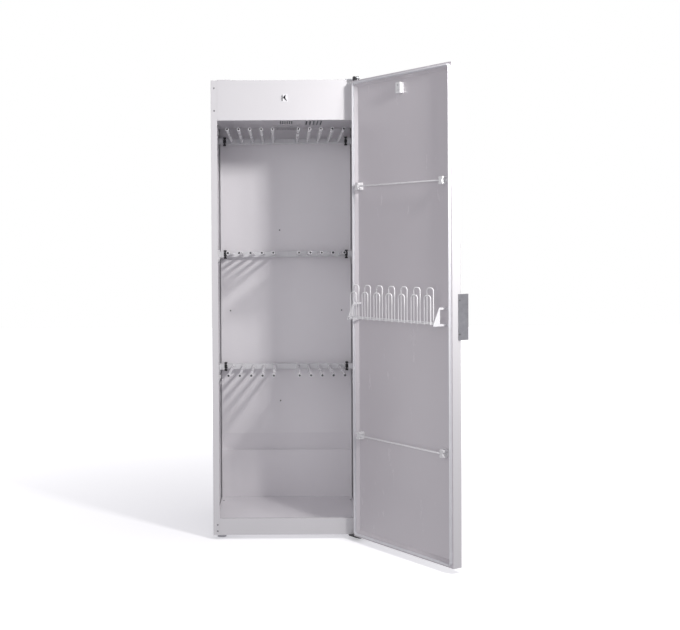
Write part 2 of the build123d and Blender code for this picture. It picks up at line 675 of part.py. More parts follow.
# Black block of two stacked lobes beside the top pin: it keeps the door from being lifted off.
GUARD_LOW = DOOR_HIGH + 2.0
GUARD_LOBE = (TOP_Z + 8.0 - GUARD_LOW) / 2
with BuildPart() as hinge_guard:
    for lobe in (0.5, 1.5):
        with BuildSketch(Plane.XY.offset(GUARD_LOW + lobe * GUARD_LOBE)):
            with Locations((PIN_X - 13.5, PIN_Y + 3.0)):
                RectangleRounded(13.0, 24.0, 4.0)
        extrude(amount=GUARD_LOBE / 2, both=True, taper=24.0)
save(hinge_guard, "hinge_guard")

# Blanking plate where the hinge goes when the door is hung on the other side.
with BuildPart() as hinge_blank:
    with BuildSketch(Plane.XY.offset(TOP_Z)):
        with Locations((-246, FRONT + 22)):
            RectangleRounded(52.0, 40.0, 3.0)
    extrude(amount=3.0)
    chamfer(hinge_blank.edges().group_by(Axis.Z)[-1], length=1.0)
save(hinge_blank, "hinge_blank")

UNDERSIDE = Plane(origin=(0, 0, BASE_Z - BOTTOM_PLATE), x_dir=(1, 0, 0), z_dir=(0, 0, -1))
UNDER_PLACES = [(x, -y) for x, y in FOOT_PLATE_SCREWS]
save(
    pan_screws(
        [(Plane.XY.offset(TOP_Z + TOP_PLATE), HINGE_SCREWS), (UNDERSIDE, UNDER_PLACES)],
        radius=HINGE_SCREW_R,
        head=5.5,
        shank=BOTTOM_PLATE,
    ),
    "hinge_screws",
)

# ---------------------------------------------------------------- catch in the fascia

# Receptacle: a flanged block with an arrow-shaped recess over the magnet and a groove beside it.
with BuildPart() as catch_receptacle:
    with BuildSketch(front_plane(FRONT)):
        with Locations((CATCH_X, CATCH_Z)):
            RectangleRounded(MOUTH[0], MOUTH[1], 2.0)
    extrude(amount=1.0)
    with BuildSketch(front_plane(FRONT)):
        with Locations((CATCH_X, CATCH_Z)):
            Rectangle(MOUTH[0] - 2.4, MOUTH[1] - 2.4)
    extrude(amount=-18.0)
    with BuildSketch(front_plane(FRONT - 1.0)):
        with Locations((CATCH_X, CATCH_Z)):
            Polygon(*MOUTH_CORNERS, align=None)
    extrude(amount=-MOUTH_DEEP, mode=Mode.SUBTRACT)
    with BuildSketch(front_plane(FRONT - 1.0)):
        with Locations((CATCH_X - MOUTH[0] / 2 + 4.5, CATCH_Z)):
            Rectangle(4.0, MOUTH[1] - 6.0)
    extrude(amount=-MOUTH_DEEP / 2, mode=Mode.SUBTRACT)
save(catch_receptacle, "catch_receptacle")

with BuildPart() as door_switch:
    with BuildSketch(front_plane(FRONT + 18.0)):
        with Locations((CATCH_X, CATCH_Z)):
            RectangleRounded(12.0, 28.0, 1.5)
    extrude(amount=-16.0)
    with BuildSketch(front_plane(FRONT + 34.0)):
        with Locations((CATCH_X, CATCH_Z)):
            with GridLocations(0, 9.0, 1, 3):
                Rectangle(4.0, 1.0)
    extrude(amount=-6.0)
save(door_switch, "door_switch")


# ---------------------------------------------------------------- air handling

def scroll_face(grow):
    """The fan housing seen from above: a round casing with a straight outlet, grown by a wall."""
    with BuildSketch(mode=Mode.PRIVATE) as face:
        Circle(SCROLL_R + grow)
        with Locations((0, SCROLL_R + grow)):
            Rectangle(SCROLL_OUT, OUTLET + 2 * grow, align=(Align.MIN, Align.MAX))
    return face.sketch


FAN_FLOOR = CEILING_Z + SHEET
with BuildPart() as fan_housing:
    with BuildSketch(Plane.XY.offset(FAN_FLOOR)):
        with Locations(FAN_XY):
            add(scroll_face(SHEET))
    extrude(amount=FAN_TOP - FAN_FLOOR)
    with BuildSketch(Plane.XY.offset(FAN_FLOOR + SHEET)):
        with Locations(FAN_XY):
            add(scroll_face(0.0))
    extrude(amount=FAN_TOP - FAN_FLOOR - 2 * SHEET, mode=Mode.SUBTRACT)
    with BuildSketch(Plane.XY.offset(FAN_TOP - SHEET)):
        with Locations(FAN_XY):
            Circle(52.0)
    extrude(amount=SHEET, mode=Mode.SUBTRACT)
save(fan_housing, "fan_housing")

BLADES = 24
IMPELLER_Z = (FAN_FLOOR + 8.0, FAN_TOP - 8.0)
HUB_Z = 1742.0
with BuildPart() as fan_impeller:
    with BuildSketch(Plane.XY.offset(IMPELLER_Z[0])):
        with Locations(FAN_XY):
            Circle(68.0)
            Circle(57.0, mode=Mode.SUBTRACT)
    extrude(amount=2.0)
    with BuildSketch(Plane.XY.offset(IMPELLER_Z[1] - 2.0)):
        with Locations(FAN_XY):
            Circle(68.0)
            Circle(57.0, mode=Mode.SUBTRACT)
    extrude(amount=2.0)
    with BuildSketch(Plane.XY.offset(HUB_Z)):
        with Locations(FAN_XY):
            Circle(67.0)
    extrude(amount=2.0)
    with BuildSketch(Plane.XY.offset(HUB_Z - 4.0)):
        with Locations(FAN_XY):
            Circle(12.0)
    extrude(amount=14.0)
    with BuildSketch(Plane.XY.offset(IMPELLER_Z[0])):
        with Locations(FAN_XY):
            with PolarLocations(62.5, BLADES):
                Rectangle(9.0, 1.2, rotation=35)
    extrude(amount=IMPELLER_Z[1] - IMPELLER_Z[0])
    with BuildSketch(Plane.XY.offset(HUB_Z - 4.0)):
        with Locations(FAN_XY):
            Circle(4.0 + BUSH_PLAY)
    extrude(amount=14.0, mode=Mode.SUBTRACT)
save(fan_impeller, "fan_impeller")

with BuildPart() as fan_motor:
    with BuildSketch(Plane.XY.offset(FAN_FLOOR + SHEET)):
        with Locations(FAN_XY):
            Circle(30.0)
    extrude(amount=30.0)
    fillet(fan_motor.edges().group_by(Axis.Z)[-1], radius=4.0)
    with BuildSketch(Plane.XY.offset(FAN_FLOOR + SHEET + 30.0)):
        with Locations(FAN_XY):
            Circle(4.0)
    extrude(amount=18.0)
save(fan_motor, "fan_motor")

DUCT = (-30.0, 38.0, -36.0, 110.0)
with BuildPart() as heater_duct:
    duct_mid = ((DUCT[0] + DUCT[1]) / 2, (DUCT[2] + DUCT[3]) / 2)
    with BuildSketch(Plane.XY.offset(FAN_FLOOR)):
        with Locations(duct_mid):
            Rectangle(DUCT[1] - DUCT[0], DUCT[3] - DUCT[2])
    extrude(amount=FAN_TOP - FAN_FLOOR)
    with BuildSketch(Plane.XY.offset(FAN_FLOOR)):
        with Locations(duct_mid):
            Rectangle(DUCT[1] - DUCT[0] - 2 * SHEET, DUCT[3] - DUCT[2] - 2 * SHEET)
    extrude(amount=FAN_TOP - FAN_FLOOR - SHEET, mode=Mode.SUBTRACT)
    with BuildSketch(Plane.YZ.offset(DUCT[0])):
        with Locations((FAN_XY[1] + SCROLL_R - OUTLET / 2, (FAN_FLOOR + FAN_TOP) / 2)):
            Rectangle(OUTLET - 2.0, FAN_TOP - FAN_FLOOR - 8.0)
    extrude(amount=SHEET, mode=Mode.SUBTRACT)
save(heater_duct, "heater_duct")

with BuildPart() as heating_element:
    with BuildSketch(Plane.XZ.offset(-DUCT[3] + 8.0)):
        with Locations((duct_mid[0], 1742.0)):
            with GridLocations(18.0, 26.0, 3, 2):
                Circle(4.0)
    extrude(amount=130.0)
    for fin in range(17):
        with BuildSketch(Plane.XZ.offset(-DUCT[3] + 12.0 + 7.6 * fin)):
            with Locations((duct_mid[0], 1742.0)):
                Rectangle(58.0, 54.0)
        extrude(amount=0.8)
save(heating_element, "heating_element")

with BuildPart() as thermostat:
    with BuildSketch(Plane.XY.offset(FAN_TOP)):
        with Locations((duct_mid[0], duct_mid[1])):
            Circle(12.0)
            Rectangle(34.0, 8.0)
    extrude(amount=2.0)
    with BuildSketch(Plane.XY.offset(FAN_TOP + 2.0)):
        with Locations((duct_mid[0], duct_mid[1])):
            Circle(8.0)
    extrude(amount=8.0)
    with BuildSketch(Plane.XY.offset(FAN_TOP + 10.0)):
        with Locations((duct_mid[0], duct_mid[1])):
            with GridLocations(8.0, 0, 2, 1):
                Rectangle(0.8, 5.0)
    extrude(amount=8.0)
save(thermostat, "thermostat")

EXHAUST_BOX = (84.0, 186.0, 70.0)
with BuildPart() as exhaust_duct:
    with BuildSketch(Plane.XY.offset(FAN_FLOOR)):
        with Locations(EXHAUST_XY):
            Rectangle(EXHAUST_BOX[0] + 24.0, EXHAUST_BOX[1])
    extrude(amount=EXHAUST_BOX[2])
    with BuildSketch(Plane.XY.offset(FAN_FLOOR)):
        with Locations(EXHAUST_XY):
            Rectangle(EXHAUST_BOX[0] + 24.0 - 2 * SHEET, EXHAUST_BOX[1] - 2 * SHEET)
    extrude(amount=EXHAUST_BOX[2] - SHEET, mode=Mode.SUBTRACT)
    with BuildSketch(Plane.XY.offset(FAN_FLOOR + EXHAUST_BOX[2] - SHEET)):
        with Locations(EXHAUST_XY):
            Circle(SPIGOT_R - SPIGOT_WALL)
    extrude(amount=SHEET, mode=Mode.SUBTRACT)
save(exhaust_duct, "exhaust_duct")

SPIGOT_FOOT = FAN_FLOOR + EXHAUST_BOX[2]
with BuildPart() as exhaust_spigot:
    with BuildSketch(Plane.XY.offset(SPIGOT_FOOT)):
        with Locations(EXHAUST_XY):
            Circle(SPIGOT_R + 3.0)
    extrude(amount=1.5)
    with BuildSketch(Plane.XY.offset(SPIGOT_FOOT)):
        with Locations(EXHAUST_XY):
            Circle(SPIGOT_R)
    extrude(amount=SPIGOT_TOP - SPIGOT_FOOT)
    with BuildSketch(Plane.XY.offset(SPIGOT_FOOT)):
        with Locations(EXHAUST_XY):
            Circle(SPIGOT_R - SPIGOT_WALL)
    extrude(amount=SPIGOT_TOP - SPIGOT_FOOT, mode=Mode.SUBTRACT)
save(exhaust_spigot, "exhaust_spigot")

# ---------------------------------------------------------------- electrics

BOARD_XY = (210.0, -170.0)
with BuildPart() as control_board:
    with BuildSketch(Plane.XY.offset(FAN_FLOOR)):
        with Locations(BOARD_XY):
            with GridLocations(110.0, 80.0, 2, 2):
                Circle(3.5)
    extrude(amount=10.0)
    with BuildSketch(Plane.XY.offset(FAN_FLOOR + 10.0)):
        with Locations(BOARD_XY):
            RectangleRounded(124.0, 94.0, 3.0)
    extrude(amount=1.6)
    with BuildSketch(Plane.XY.offset(FAN_FLOOR + 11.6)):
        with Locations((BOARD_XY[0] - 30.0, BOARD_XY[1] + 12.0)):
            Rectangle(42.0, 36.0)
    extrude(amount=32.0)
    with BuildSketch(Plane.XY.offset(FAN_FLOOR + 11.6)):
        with Locations((BOARD_XY[0] + 24.0, BOARD_XY[1] + 18.0)):
            with GridLocations(22.0, 0, 2, 1):
                Rectangle(16.0, 28.0)
        with Locations((BOARD_XY[0] + 20.0, BOARD_XY[1] - 26.0)):
            Circle(7.0)
    extrude(amount=20.0)
save(control_board, "control_board")

TERMINAL_XY = (225.0, 215.0)
with BuildPart() as terminal_block:
    with BuildSketch(Plane.XY.offset(FAN_FLOOR)):
        with Locations(TERMINAL_XY):
            Rectangle(64.0, 22.0)
    extrude(amount=18.0)
    with BuildSketch(Plane.XY.offset(FAN_FLOOR + 18.0)):
        with Locations(TERMINAL_XY):
            with GridLocations(12.0, 12.0, 5, 2):
                Circle(2.6)
    extrude(amount=-10.0, mode=Mode.SUBTRACT)
save(terminal_block, "terminal_block")

# Cable gland in the back: a threaded body through the panel, a nut inside, a dome nut outside.
with BuildPart() as cable_gland:
    with BuildSketch(front_plane(WALL_Y - 8.0)):
        with Locations((GLAND_X, GLAND_Z)):
            Circle(GLAND_R - 0.3)
    extrude(amount=-20.0)
    with BuildSketch(front_plane(WALL_Y)):
        with Locations((GLAND_X, GLAND_Z)):
            RegularPolygon(radius=13.5, side_count=6)
    extrude(amount=5.0)
    with BuildSketch(front_plane(WALL_Y + SHEET)):
        with Locations((GLAND_X, GLAND_Z)):
            RegularPolygon(radius=13.5, side_count=6)
    extrude(amount=-7.0)
    with BuildSketch(front_plane(WALL_Y + SHEET + 7.0)):
        with Locations((GLAND_X, GLAND_Z)):
            Circle(11.0)
    extrude(amount=-6.0, taper=20.0)
    with BuildSketch(front_plane(WALL_Y - 8.0)):
        with Locations((GLAND_X, GLAND_Z)):
            Circle(4.5)
    extrude(amount=-24.0, mode=Mode.SUBTRACT)
save(cable_gland, "cable_gland")

# ---------------------------------------------------------------- door

# Outer skin: a folded pan, open to the inside within a narrow lip.
with BuildPart() as door_outer_skin:
    with BuildSketch(DOOR.offset(DOOR_LOW)):
        with Locations((DOOR_MID, -SHEET / 2)):
            Rectangle(DOOR_WIDE, DOOR_THICK - SHEET)
    extrude(amount=DOOR_TALL)
    upright = door_outer_skin.edges().filter_by(Axis.Z)
    fillet(upright.filter_by(lambda e: DOOR.to_local_coords(e.center()).Y < 0), radius=5.0)
    with BuildSketch(DOOR.offset(DOOR_LOW + SHEET)):
        with Locations((DOOR_MID, -SHEET / 2)):
            Rectangle(DOOR_WIDE - 2 * SHEET, DOOR_THICK - 3 * SHEET)
    extrude(amount=DOOR_TALL - 2 * SHEET, mode=Mode.SUBTRACT)
    with BuildSketch(door_face(BAND_Y)):
        with Locations((DOOR_MID, DOOR_MID_Z)):
            Rectangle(DOOR_WIDE - 26.0, DOOR_TALL - 26.0)
    extrude(amount=2 * SHEET, mode=Mode.SUBTRACT)
    for hinge_z in (DOOR_LOW, DOOR_HIGH - SHEET):
        with BuildSketch(DOOR.offset(hinge_z)):
            Circle(BUSH_R)
        extrude(amount=SHEET, mode=Mode.SUBTRACT)
    with BuildSketch(door_section(FREE_EDGE)):
        with Locations(*[(-INNER + PULL_LAP / 2, z) for z in PULL_SCREW_Z]):
            Circle(HOLE_R)
    extrude(amount=SHEET, mode=Mode.SUBTRACT)
    with BuildSketch(door_face(-INNER)):
        with Locations((DOOR_MID - 60.0, PANEL_Z)):
            Circle(SHAFT_R + 3.0)
        with Locations((DOOR_MID + 20.0, PANEL_Z)):
            Circle(BUTTON_R + 0.4)
        with Locations((DOOR_MID + 70.0, PANEL_Z)):
            Circle(3.0)
    extrude(amount=-SHEET, mode=Mode.SUBTRACT)
save(door_outer_skin, "door_outer_skin")

# Inner panel: a flat band on the lip and a shallow pocket with sloping sides.
with BuildPart() as door_inner_panel:
    with BuildSketch(door_face(INNER)):
        with Locations((DOOR_MID, DOOR_MID_Z)):
            Rectangle(DOOR_WIDE - 3.0, DOOR_TALL - 3.0)
    extrude(amount=SHEET)
    with BuildSketch(door_face(INNER)):
        with Locations((DOOR_MID, DOOR_MID_Z)):
            Rectangle(DOOR_WIDE - 2 * BAND + SHEET, DOOR_TALL - 2 * BAND + SHEET)
    extrude(amount=POCKET + SHEET, taper=45.0)
    with BuildSketch(door_face(INNER)):
        with Locations((DOOR_MID, DOOR_MID_Z)):
            Rectangle(DOOR_WIDE - 2 * BAND, DOOR_TALL - 2 * BAND)
    extrude(amount=POCKET, taper=45.0, mode=Mode.SUBTRACT)
save(door_inner_panel, "door_inner_panel")

# Insulation between the skin and the inner panel, cut back round the bushes and the controls.
FILL_Y = (-INNER + SHEET + 0.4, PANEL_Y - SHEET - 0.4)
with BuildPart() as door_insulation:
    with BuildSketch(door_face(FILL_Y[1])):
        with Locations((DOOR_MID, DOOR_MID_Z)):
            Rectangle(DOOR_WIDE - 6.0, DOOR_TALL - 6.0)
        with Locations((DOOR_EDGE - 20.0, DOOR_LOW + 20.0), (DOOR_EDGE - 20.0, DOOR_HIGH - 20.0)):
            Rectangle(44.0, 44.0, mode=Mode.SUBTRACT)
        with Locations((DOOR_MID, PANEL_Z)):
            Rectangle(PANEL_WIDE - 20.0, PANEL_HIGH - 8.0, mode=Mode.SUBTRACT)
    extrude(amount=FILL_Y[1] - FILL_Y[0])
save(door_insulation, "door_insulation")

# Gasket: a ring with a rounded crown all round the inner face.
with BuildPart() as door_gasket:
    with BuildSketch(door_face(INNER)):
        with Locations((DOOR_MID, DOOR_MID_Z)):
            RectangleRounded(DOOR_WIDE - 2 * GASKET_INSET, DOOR_TALL - 2 * GASKET_INSET, 6.0)
            Rectangle(
                DOOR_WIDE - 2 * GASKET_INSET - 2 * GASKET_WIDE,
                DOOR_TALL - 2 * GASKET_INSET - 2 * GASKET_WIDE,
                mode=Mode.SUBTRACT,
            )
    extrude(amount=-GASKET_HIGH)
    crown = door_gasket.faces().filter_by(Plane(origin=(0, 0, 0), z_dir=DOOR.y_dir))
    crown = crown.sort_by(lambda f: DOOR.to_local_coords(f.center()).Y)[-1]
    chamfer(crown.edges(), length=2.4)
save(door_gasket, "door_gasket")

# Nylon bushes for the hinge pins, let into the top and bottom of the door.
with BuildPart() as door_hinge_bushes:
    for bush_z, way in ((DOOR_LOW, 1), (DOOR_HIGH, -1)):
        with BuildSketch(DOOR.offset(bush_z)):
            Circle(BUSH_R - 0.1)
            Circle(PIN_R + BUSH_PLAY, mode=Mode.SUBTRACT)
        extrude(amount=way * BUSH_LONG)
save(door_hinge_bushes, "door_hinge_bushes")

# Towel rails with a moulded holder at each end, waisted where the rail goes in.
RAIL_FACE = INNER + TOWEL_OUT
HOLDER_XS = (DOOR_EDGE - HOLDER_INSET, FREE_EDGE + HOLDER_INSET)
HOLDER_HEIGHTS = [(HOLDER_XS[0] - HOLDER_WIDE / 2, z) for z in TOWEL_Z]
HOLDER_HEIGHTS += [(HOLDER_XS[1] + HOLDER_WIDE / 2, z) for z in TOWEL_Z]
ROD_END = HOLDER_WIDE - 6.0
with BuildPart() as towel_rails:
    with BuildSketch(door_section(HOLDER_XS[1] + HOLDER_WIDE - ROD_END)):
        with Locations(*[(RAIL_FACE - 6.0, z) for z in TOWEL_Z]):
            Circle(TOWEL_ROD_R)
    extrude(amount=HOLDER_XS[0] - HOLDER_XS[1] - 2 * HOLDER_WIDE + 2 * ROD_END)
save(towel_rails, "towel_rails")

with BuildPart() as rail_holders:
    with BuildSketch(door_face(PANEL_Y)):
        with Locations(*HOLDER_HEIGHTS):
            RectangleRounded(HOLDER_WIDE, HOLDER_HIGH, 4.0)
    extrude(amount=-(RAIL_FACE - PANEL_Y), taper=4.0)
    with BuildSketch(door_face(PANEL_Y + 3.0)):
        for side in (-1, 1):
            with Locations(*[(x + side * HOLDER_WIDE / 2, z) for x, z in HOLDER_HEIGHTS]):
                Rectangle(2 * HOLDER_NOTCH[0], HOLDER_NOTCH[1])
    extrude(amount=-(RAIL_FACE - PANEL_Y), mode=Mode.SUBTRACT)
    with BuildSketch(door_section(HOLDER_XS[1] + HOLDER_WIDE - ROD_END)):
        with Locations(*[(RAIL_FACE - 6.0, z) for z in TOWEL_Z]):
            Circle(TOWEL_ROD_R)
    extrude(amount=HOLDER_XS[0] - HOLDER_XS[1] - 2 * HOLDER_WIDE + 2 * ROD_END, mode=Mode.SUBTRACT)
save(rail_holders, "rail_holders")


# Glove rack: two cross wires, and upright loops in two rows welded to them.
def glove_loop(x, reach, low, high):
    """The centre line of one upside-down U in the door's frame."""
    round_r = GLOVE_HALF - 6.0
    y = INNER + reach
    plane = door_face(y)
    with BuildLine(plane) as line:
        FilletPolyline(
            (x - GLOVE_HALF, low), (x - GLOVE_HALF, high), (x + GLOVE_HALF, high), (x + GLOVE_HALF, low),
            radius=round_r,
        )
    return line


GLOVE_XS = [DOOR_MID + GLOVE_PITCH * (i - (GLOVE_LOOPS - 1) / 2) for i in range(GLOVE_LOOPS)]
GLOVE_ARM_X = (FREE_EDGE + GLOVE_ARM_INSET, DOOR_EDGE - GLOVE_ARM_INSET)
WELD = 3.7
with BuildPart() as glove_rack_wires:
    for reach, low, high in (GLOVE_BACK, GLOVE_FRONT):
        with BuildSketch(door_section(GLOVE_ARM_X[0])):
            with Locations((INNER + reach - WELD, low + 3.0)):
                Circle(GLOVE_WIRE_R)
        extrude(amount=GLOVE_ARM_X[1] - GLOVE_ARM_X[0])
        for loop_x in GLOVE_XS:
            path = glove_loop(loop_x, reach, low, high)
            with BuildSketch(Plane(origin=path.line @ 0, x_dir=DOOR.x_dir, z_dir=(0, 0, 1))):
                Circle(GLOVE_WIRE_R)
            sweep(path=path.line)
save(glove_rack_wires, "glove_rack_wires")

# Glove rack ends: a sheet bracket with two arms to the panel and a sloping front web.
ARM_TOP = 951.0
ARM_LOW = 884.0
ARM_BAR = 8.0
TAB_WIDE = 11.0
WEB_Y = INNER + 27.0
TIP_Y = INNER + GLOVE_FRONT[0] + 4.0
with BuildPart() as glove_rack_brackets:
    for arm_x, way in ((GLOVE_ARM_X[0], -1), (GLOVE_ARM_X[1], 1)):
        with BuildSketch(door_section(arm_x)):
            with BuildLine():
                Polyline(
                    (PANEL_Y, ARM_TOP), (WEB_Y, ARM_TOP), (TIP_Y, ARM_LOW + 4.0), (TIP_Y, ARM_LOW),
                    (PANEL_Y, ARM_LOW), (PANEL_Y, ARM_LOW + ARM_BAR), (WEB_Y - 2.0, ARM_LOW + ARM_BAR),
                    (WEB_Y - 2.0, ARM_TOP - ARM_BAR), (PANEL_Y, ARM_TOP - ARM_BAR), (PANEL_Y, ARM_TOP),
                )
            make_face()
        extrude(amount=way * GLOVE_PLATE)
        for tab_z in (ARM_TOP - ARM_BAR, ARM_LOW):
            with BuildSketch(door_face(PANEL_Y)):
                with Locations((arm_x + way * TAB_WIDE / 2, tab_z + ARM_BAR / 2)):
                    Rectangle(TAB_WIDE, ARM_BAR)
            extrude(amount=-1.5)
save(glove_rack_brackets, "glove_rack_brackets")

# Catch block on the inside of the door.
CATCH_DOOR_X = CATCH_X - PIN_X
CATCH_FACE = INNER + 8.7
CATCH_BLOCK_SCREWS = [(CATCH_DOOR_X, CATCH_Z - 10.0), (CATCH_DOOR_X, CATCH_Z + 10.0)]
with BuildPart() as door_catch_block:
    with BuildSketch(door_face(PANEL_Y)):
        with Locations((CATCH_DOOR_X, CATCH_Z)):
            RectangleRounded(CATCH_WIDE, CATCH_HIGH, 3.0)
    extrude(amount=-(CATCH_FACE - PANEL_Y))
    fillet(door_catch_block.edges().sort_by(lambda e: DOOR.to_local_coords(e.center()).Y)[-8:], radius=1.5)
    with BuildSketch(door_face(CATCH_FACE)):
        with Locations(*CATCH_BLOCK_SCREWS):
            Circle(3.2)
    extrude(amount=3.0, mode=Mode.SUBTRACT)
save(door_catch_block, "door_catch_block")

# Edge pull: a plate on the free edge that stands out in front of the door and turns back in a lip.
PULL_END = -INNER - PULL_OUT
PULL_LIP = 9.0
with BuildPart() as pull_handle:
    with BuildSketch(DOOR.offset(PULL_Z[0])):
        with BuildLine():
            Polyline(
                (FREE_EDGE, -INNER + PULL_LAP), (FREE_EDGE - PULL_THICK, -INNER + PULL_LAP),
                (FREE_EDGE - PULL_THICK, PULL_END), (FREE_EDGE + PULL_LIP, PULL_END),
                (FREE_EDGE + PULL_LIP, PULL_END + PULL_THICK), (FREE_EDGE, PULL_END + PULL_THICK),
                (FREE_EDGE, -INNER + PULL_LAP),
            )
        make_face()
    extrude(amount=PULL_Z[1] - PULL_Z[0])
    bend = pull_handle.edges().filter_by(Axis.Z)
    bend = bend.filter_by(lambda e: (DOOR.to_local_coords(e.center()) - Vector(
        FREE_EDGE - PULL_THICK, PULL_END, (PULL_Z[0] + PULL_Z[1]) / 2)).length < 0.1)
    fillet(bend, radius=2.2)
    with BuildSketch(door_section(FREE_EDGE)):
        with Locations(*[(-INNER + PULL_LAP / 2, z) for z in PULL_SCREW_Z]):
            Circle(HOLE_R)
    extrude(amount=-PULL_THICK, mode=Mode.SUBTRACT)
save(pull_handle, "pull_handle")

PULL_FACE = Plane(
    origin=DOOR.from_local_coords((FREE_EDGE - PULL_THICK, 0, 0)),
    x_dir=-DOOR.y_dir,
    z_dir=-DOOR.x_dir,
)
PULL_PLACES = [(INNER - PULL_LAP / 2, z) for z in PULL_SCREW_Z]
CATCH_SCREW_FACE = Plane(
    origin=DOOR.from_local_coords((0, CATCH_FACE - 3.0, 0)),
    x_dir=-DOOR.x_dir,
    z_dir=DOOR.y_dir,
)
CATCH_PLACES = [(-x, z) for x, z in CATCH_BLOCK_SCREWS]
save(pan_screws([(PULL_FACE, PULL_PLACES)]), "handle_screws")
with BuildPart() as catch_screws:
    with BuildSketch(CATCH_SCREW_FACE):
        with Locations(*CATCH_PLACES):
            Circle(3.1)
    extrude(amount=2.2)
    with BuildSketch(CATCH_SCREW_FACE.offset(2.2)):
        with Locations(*CATCH_PLACES):
            Rectangle(4.0, 0.9)
            Rectangle(0.9, 4.0)
    extrude(amount=-1.2, mode=Mode.SUBTRACT)
save(catch_screws, "catch_screws")

# ---------------------------------------------------------------- controls on the front of the door

KNOB_X = DOOR_MID - 60.0
BUTTON_X = DOOR_MID + 20.0
LAMP_X = DOOR_MID + 70.0
with BuildPart() as control_bezel:
    with BuildSketch(door_face(-INNER)):
        with Locations((DOOR_MID, PANEL_Z)):
            RectangleRounded(PANEL_WIDE, PANEL_HIGH, 8.0)
    extrude(amount=PANEL_PROUD)
    rim = control_bezel.faces().sort_by(lambda f: DOOR.to_local_coords(f.center()).Y)[0].edges()
    chamfer(rim, length=1.2)
    with BuildSketch(door_face(-INNER - PANEL_PROUD)):
        with Locations((KNOB_X, PANEL_Z)):
            Circle(SHAFT_R + 3.0)
        with Locations((BUTTON_X, PANEL_Z)):
            Circle(BUTTON_R + 0.4)
        with Locations((LAMP_X, PANEL_Z)):
            Circle(3.0)
    extrude(amount=-PANEL_PROUD, mode=Mode.SUBTRACT)
save(control_bezel, "control_bezel")

MODULE_X = (KNOB_X - 26.0, LAMP_X + 14.0)
with BuildPart() as control_module:
    with BuildSketch(door_face(-INNER + SHEET)):
        with Locations((sum(MODULE_X) / 2, PANEL_Z)):
            RectangleRounded(MODULE_X[1] - MODULE_X[0], 52.0, 4.0)
    extrude(amount=-20.0)
    with BuildSketch(door_face(-INNER + SHEET)):
        with Locations((KNOB_X, PANEL_Z)):
            Circle(SHAFT_R)
    extrude(amount=PANEL_PROUD + SHEET + 12.0)
    with BuildSketch(door_face(-INNER + SHEET)):
        with Locations((BUTTON_X, PANEL_Z)):
            Circle(BUTTON_R + BUSH_PLAY)
        with Locations((LAMP_X, PANEL_Z)):
            Circle(2.9)
    extrude(amount=-12.0, mode=Mode.SUBTRACT)
save(control_module, "control_module")

with BuildPart() as timer_knob:
    with BuildSketch(door_face(-INNER - PANEL_PROUD - 0.6)):
        with Locations((KNOB_X, PANEL_Z)):
            Circle(KNOB_R)
    extrude(amount=KNOB_OUT - 8.0)
    with BuildSketch(door_face(-INNER - PANEL_PROUD - 0.6 - KNOB_OUT + 8.0)):
        with Locations((KNOB_X, PANEL_Z)):
            RectangleRounded(10.0, 2 * KNOB_R - 6.0, 4.0)
    extrude(amount=8.0, taper=6.0)
    with BuildSketch(door_face(-INNER - PANEL_PROUD - 0.6)):
        with Locations((KNOB_X, PANEL_Z)):
            Circle(SHAFT_R + BUSH_PLAY)
    extrude(amount=13.0, mode=Mode.SUBTRACT)
save(timer_knob, "timer_knob")

with BuildPart() as start_button:
    with BuildSketch(door_face(-INNER + SHEET + 8.0)):
        with Locations((BUTTON_X, PANEL_Z)):
            Circle(BUTTON_R)
    extrude(amount=SHEET + 8.0 + PANEL_PROUD + BUTTON_OUT)
    cap = start_button.faces().sort_by(lambda f: DOOR.to_local_coords(f.center()).Y)[0].edges()
    fillet(cap, radius=1.5)
save(start_button, "start_button")

with BuildPart() as indicator_lamp:
    with BuildSketch(door_face(-INNER + SHEET + 6.0)):
        with Locations((LAMP_X, PANEL_Z)):
            Circle(2.9)
    extrude(amount=SHEET + 6.0 + PANEL_PROUD + 1.5)
    cap = indicator_lamp.faces().sort_by(lambda f: DOOR.to_local_coords(f.center()).Y)[0].edges()
    fillet(cap, radius=1.2)
save(indicator_lamp, "indicator_lamp")
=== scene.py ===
"""Looks of the warm-air drying cabinet: powder-coated sheet, open tubes, coated wire and nylon fittings."""

import json
from math import cos, pi, radians, sin

import bmesh
import bpy
from mathutils import Matrix, Vector

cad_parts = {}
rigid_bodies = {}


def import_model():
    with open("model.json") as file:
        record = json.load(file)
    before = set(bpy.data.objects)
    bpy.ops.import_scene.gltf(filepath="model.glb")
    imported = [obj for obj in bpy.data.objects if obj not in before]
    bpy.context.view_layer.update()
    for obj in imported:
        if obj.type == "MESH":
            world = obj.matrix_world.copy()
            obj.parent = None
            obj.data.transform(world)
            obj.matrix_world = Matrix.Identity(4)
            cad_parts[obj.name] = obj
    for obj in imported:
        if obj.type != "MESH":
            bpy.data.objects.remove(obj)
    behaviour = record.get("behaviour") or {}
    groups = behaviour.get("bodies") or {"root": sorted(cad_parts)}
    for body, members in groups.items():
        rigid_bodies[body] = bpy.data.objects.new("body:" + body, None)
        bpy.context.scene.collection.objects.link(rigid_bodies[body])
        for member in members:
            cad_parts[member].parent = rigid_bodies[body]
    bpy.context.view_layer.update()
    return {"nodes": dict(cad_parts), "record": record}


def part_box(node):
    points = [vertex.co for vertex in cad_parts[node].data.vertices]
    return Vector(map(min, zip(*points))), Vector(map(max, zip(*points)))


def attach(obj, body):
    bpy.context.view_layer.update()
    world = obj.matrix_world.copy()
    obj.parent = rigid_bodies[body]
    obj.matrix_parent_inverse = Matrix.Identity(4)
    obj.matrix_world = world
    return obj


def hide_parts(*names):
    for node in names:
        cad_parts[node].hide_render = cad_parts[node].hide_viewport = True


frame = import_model()
NODES = frame["nodes"]


# ---------------------------------------------------------------- shader maths

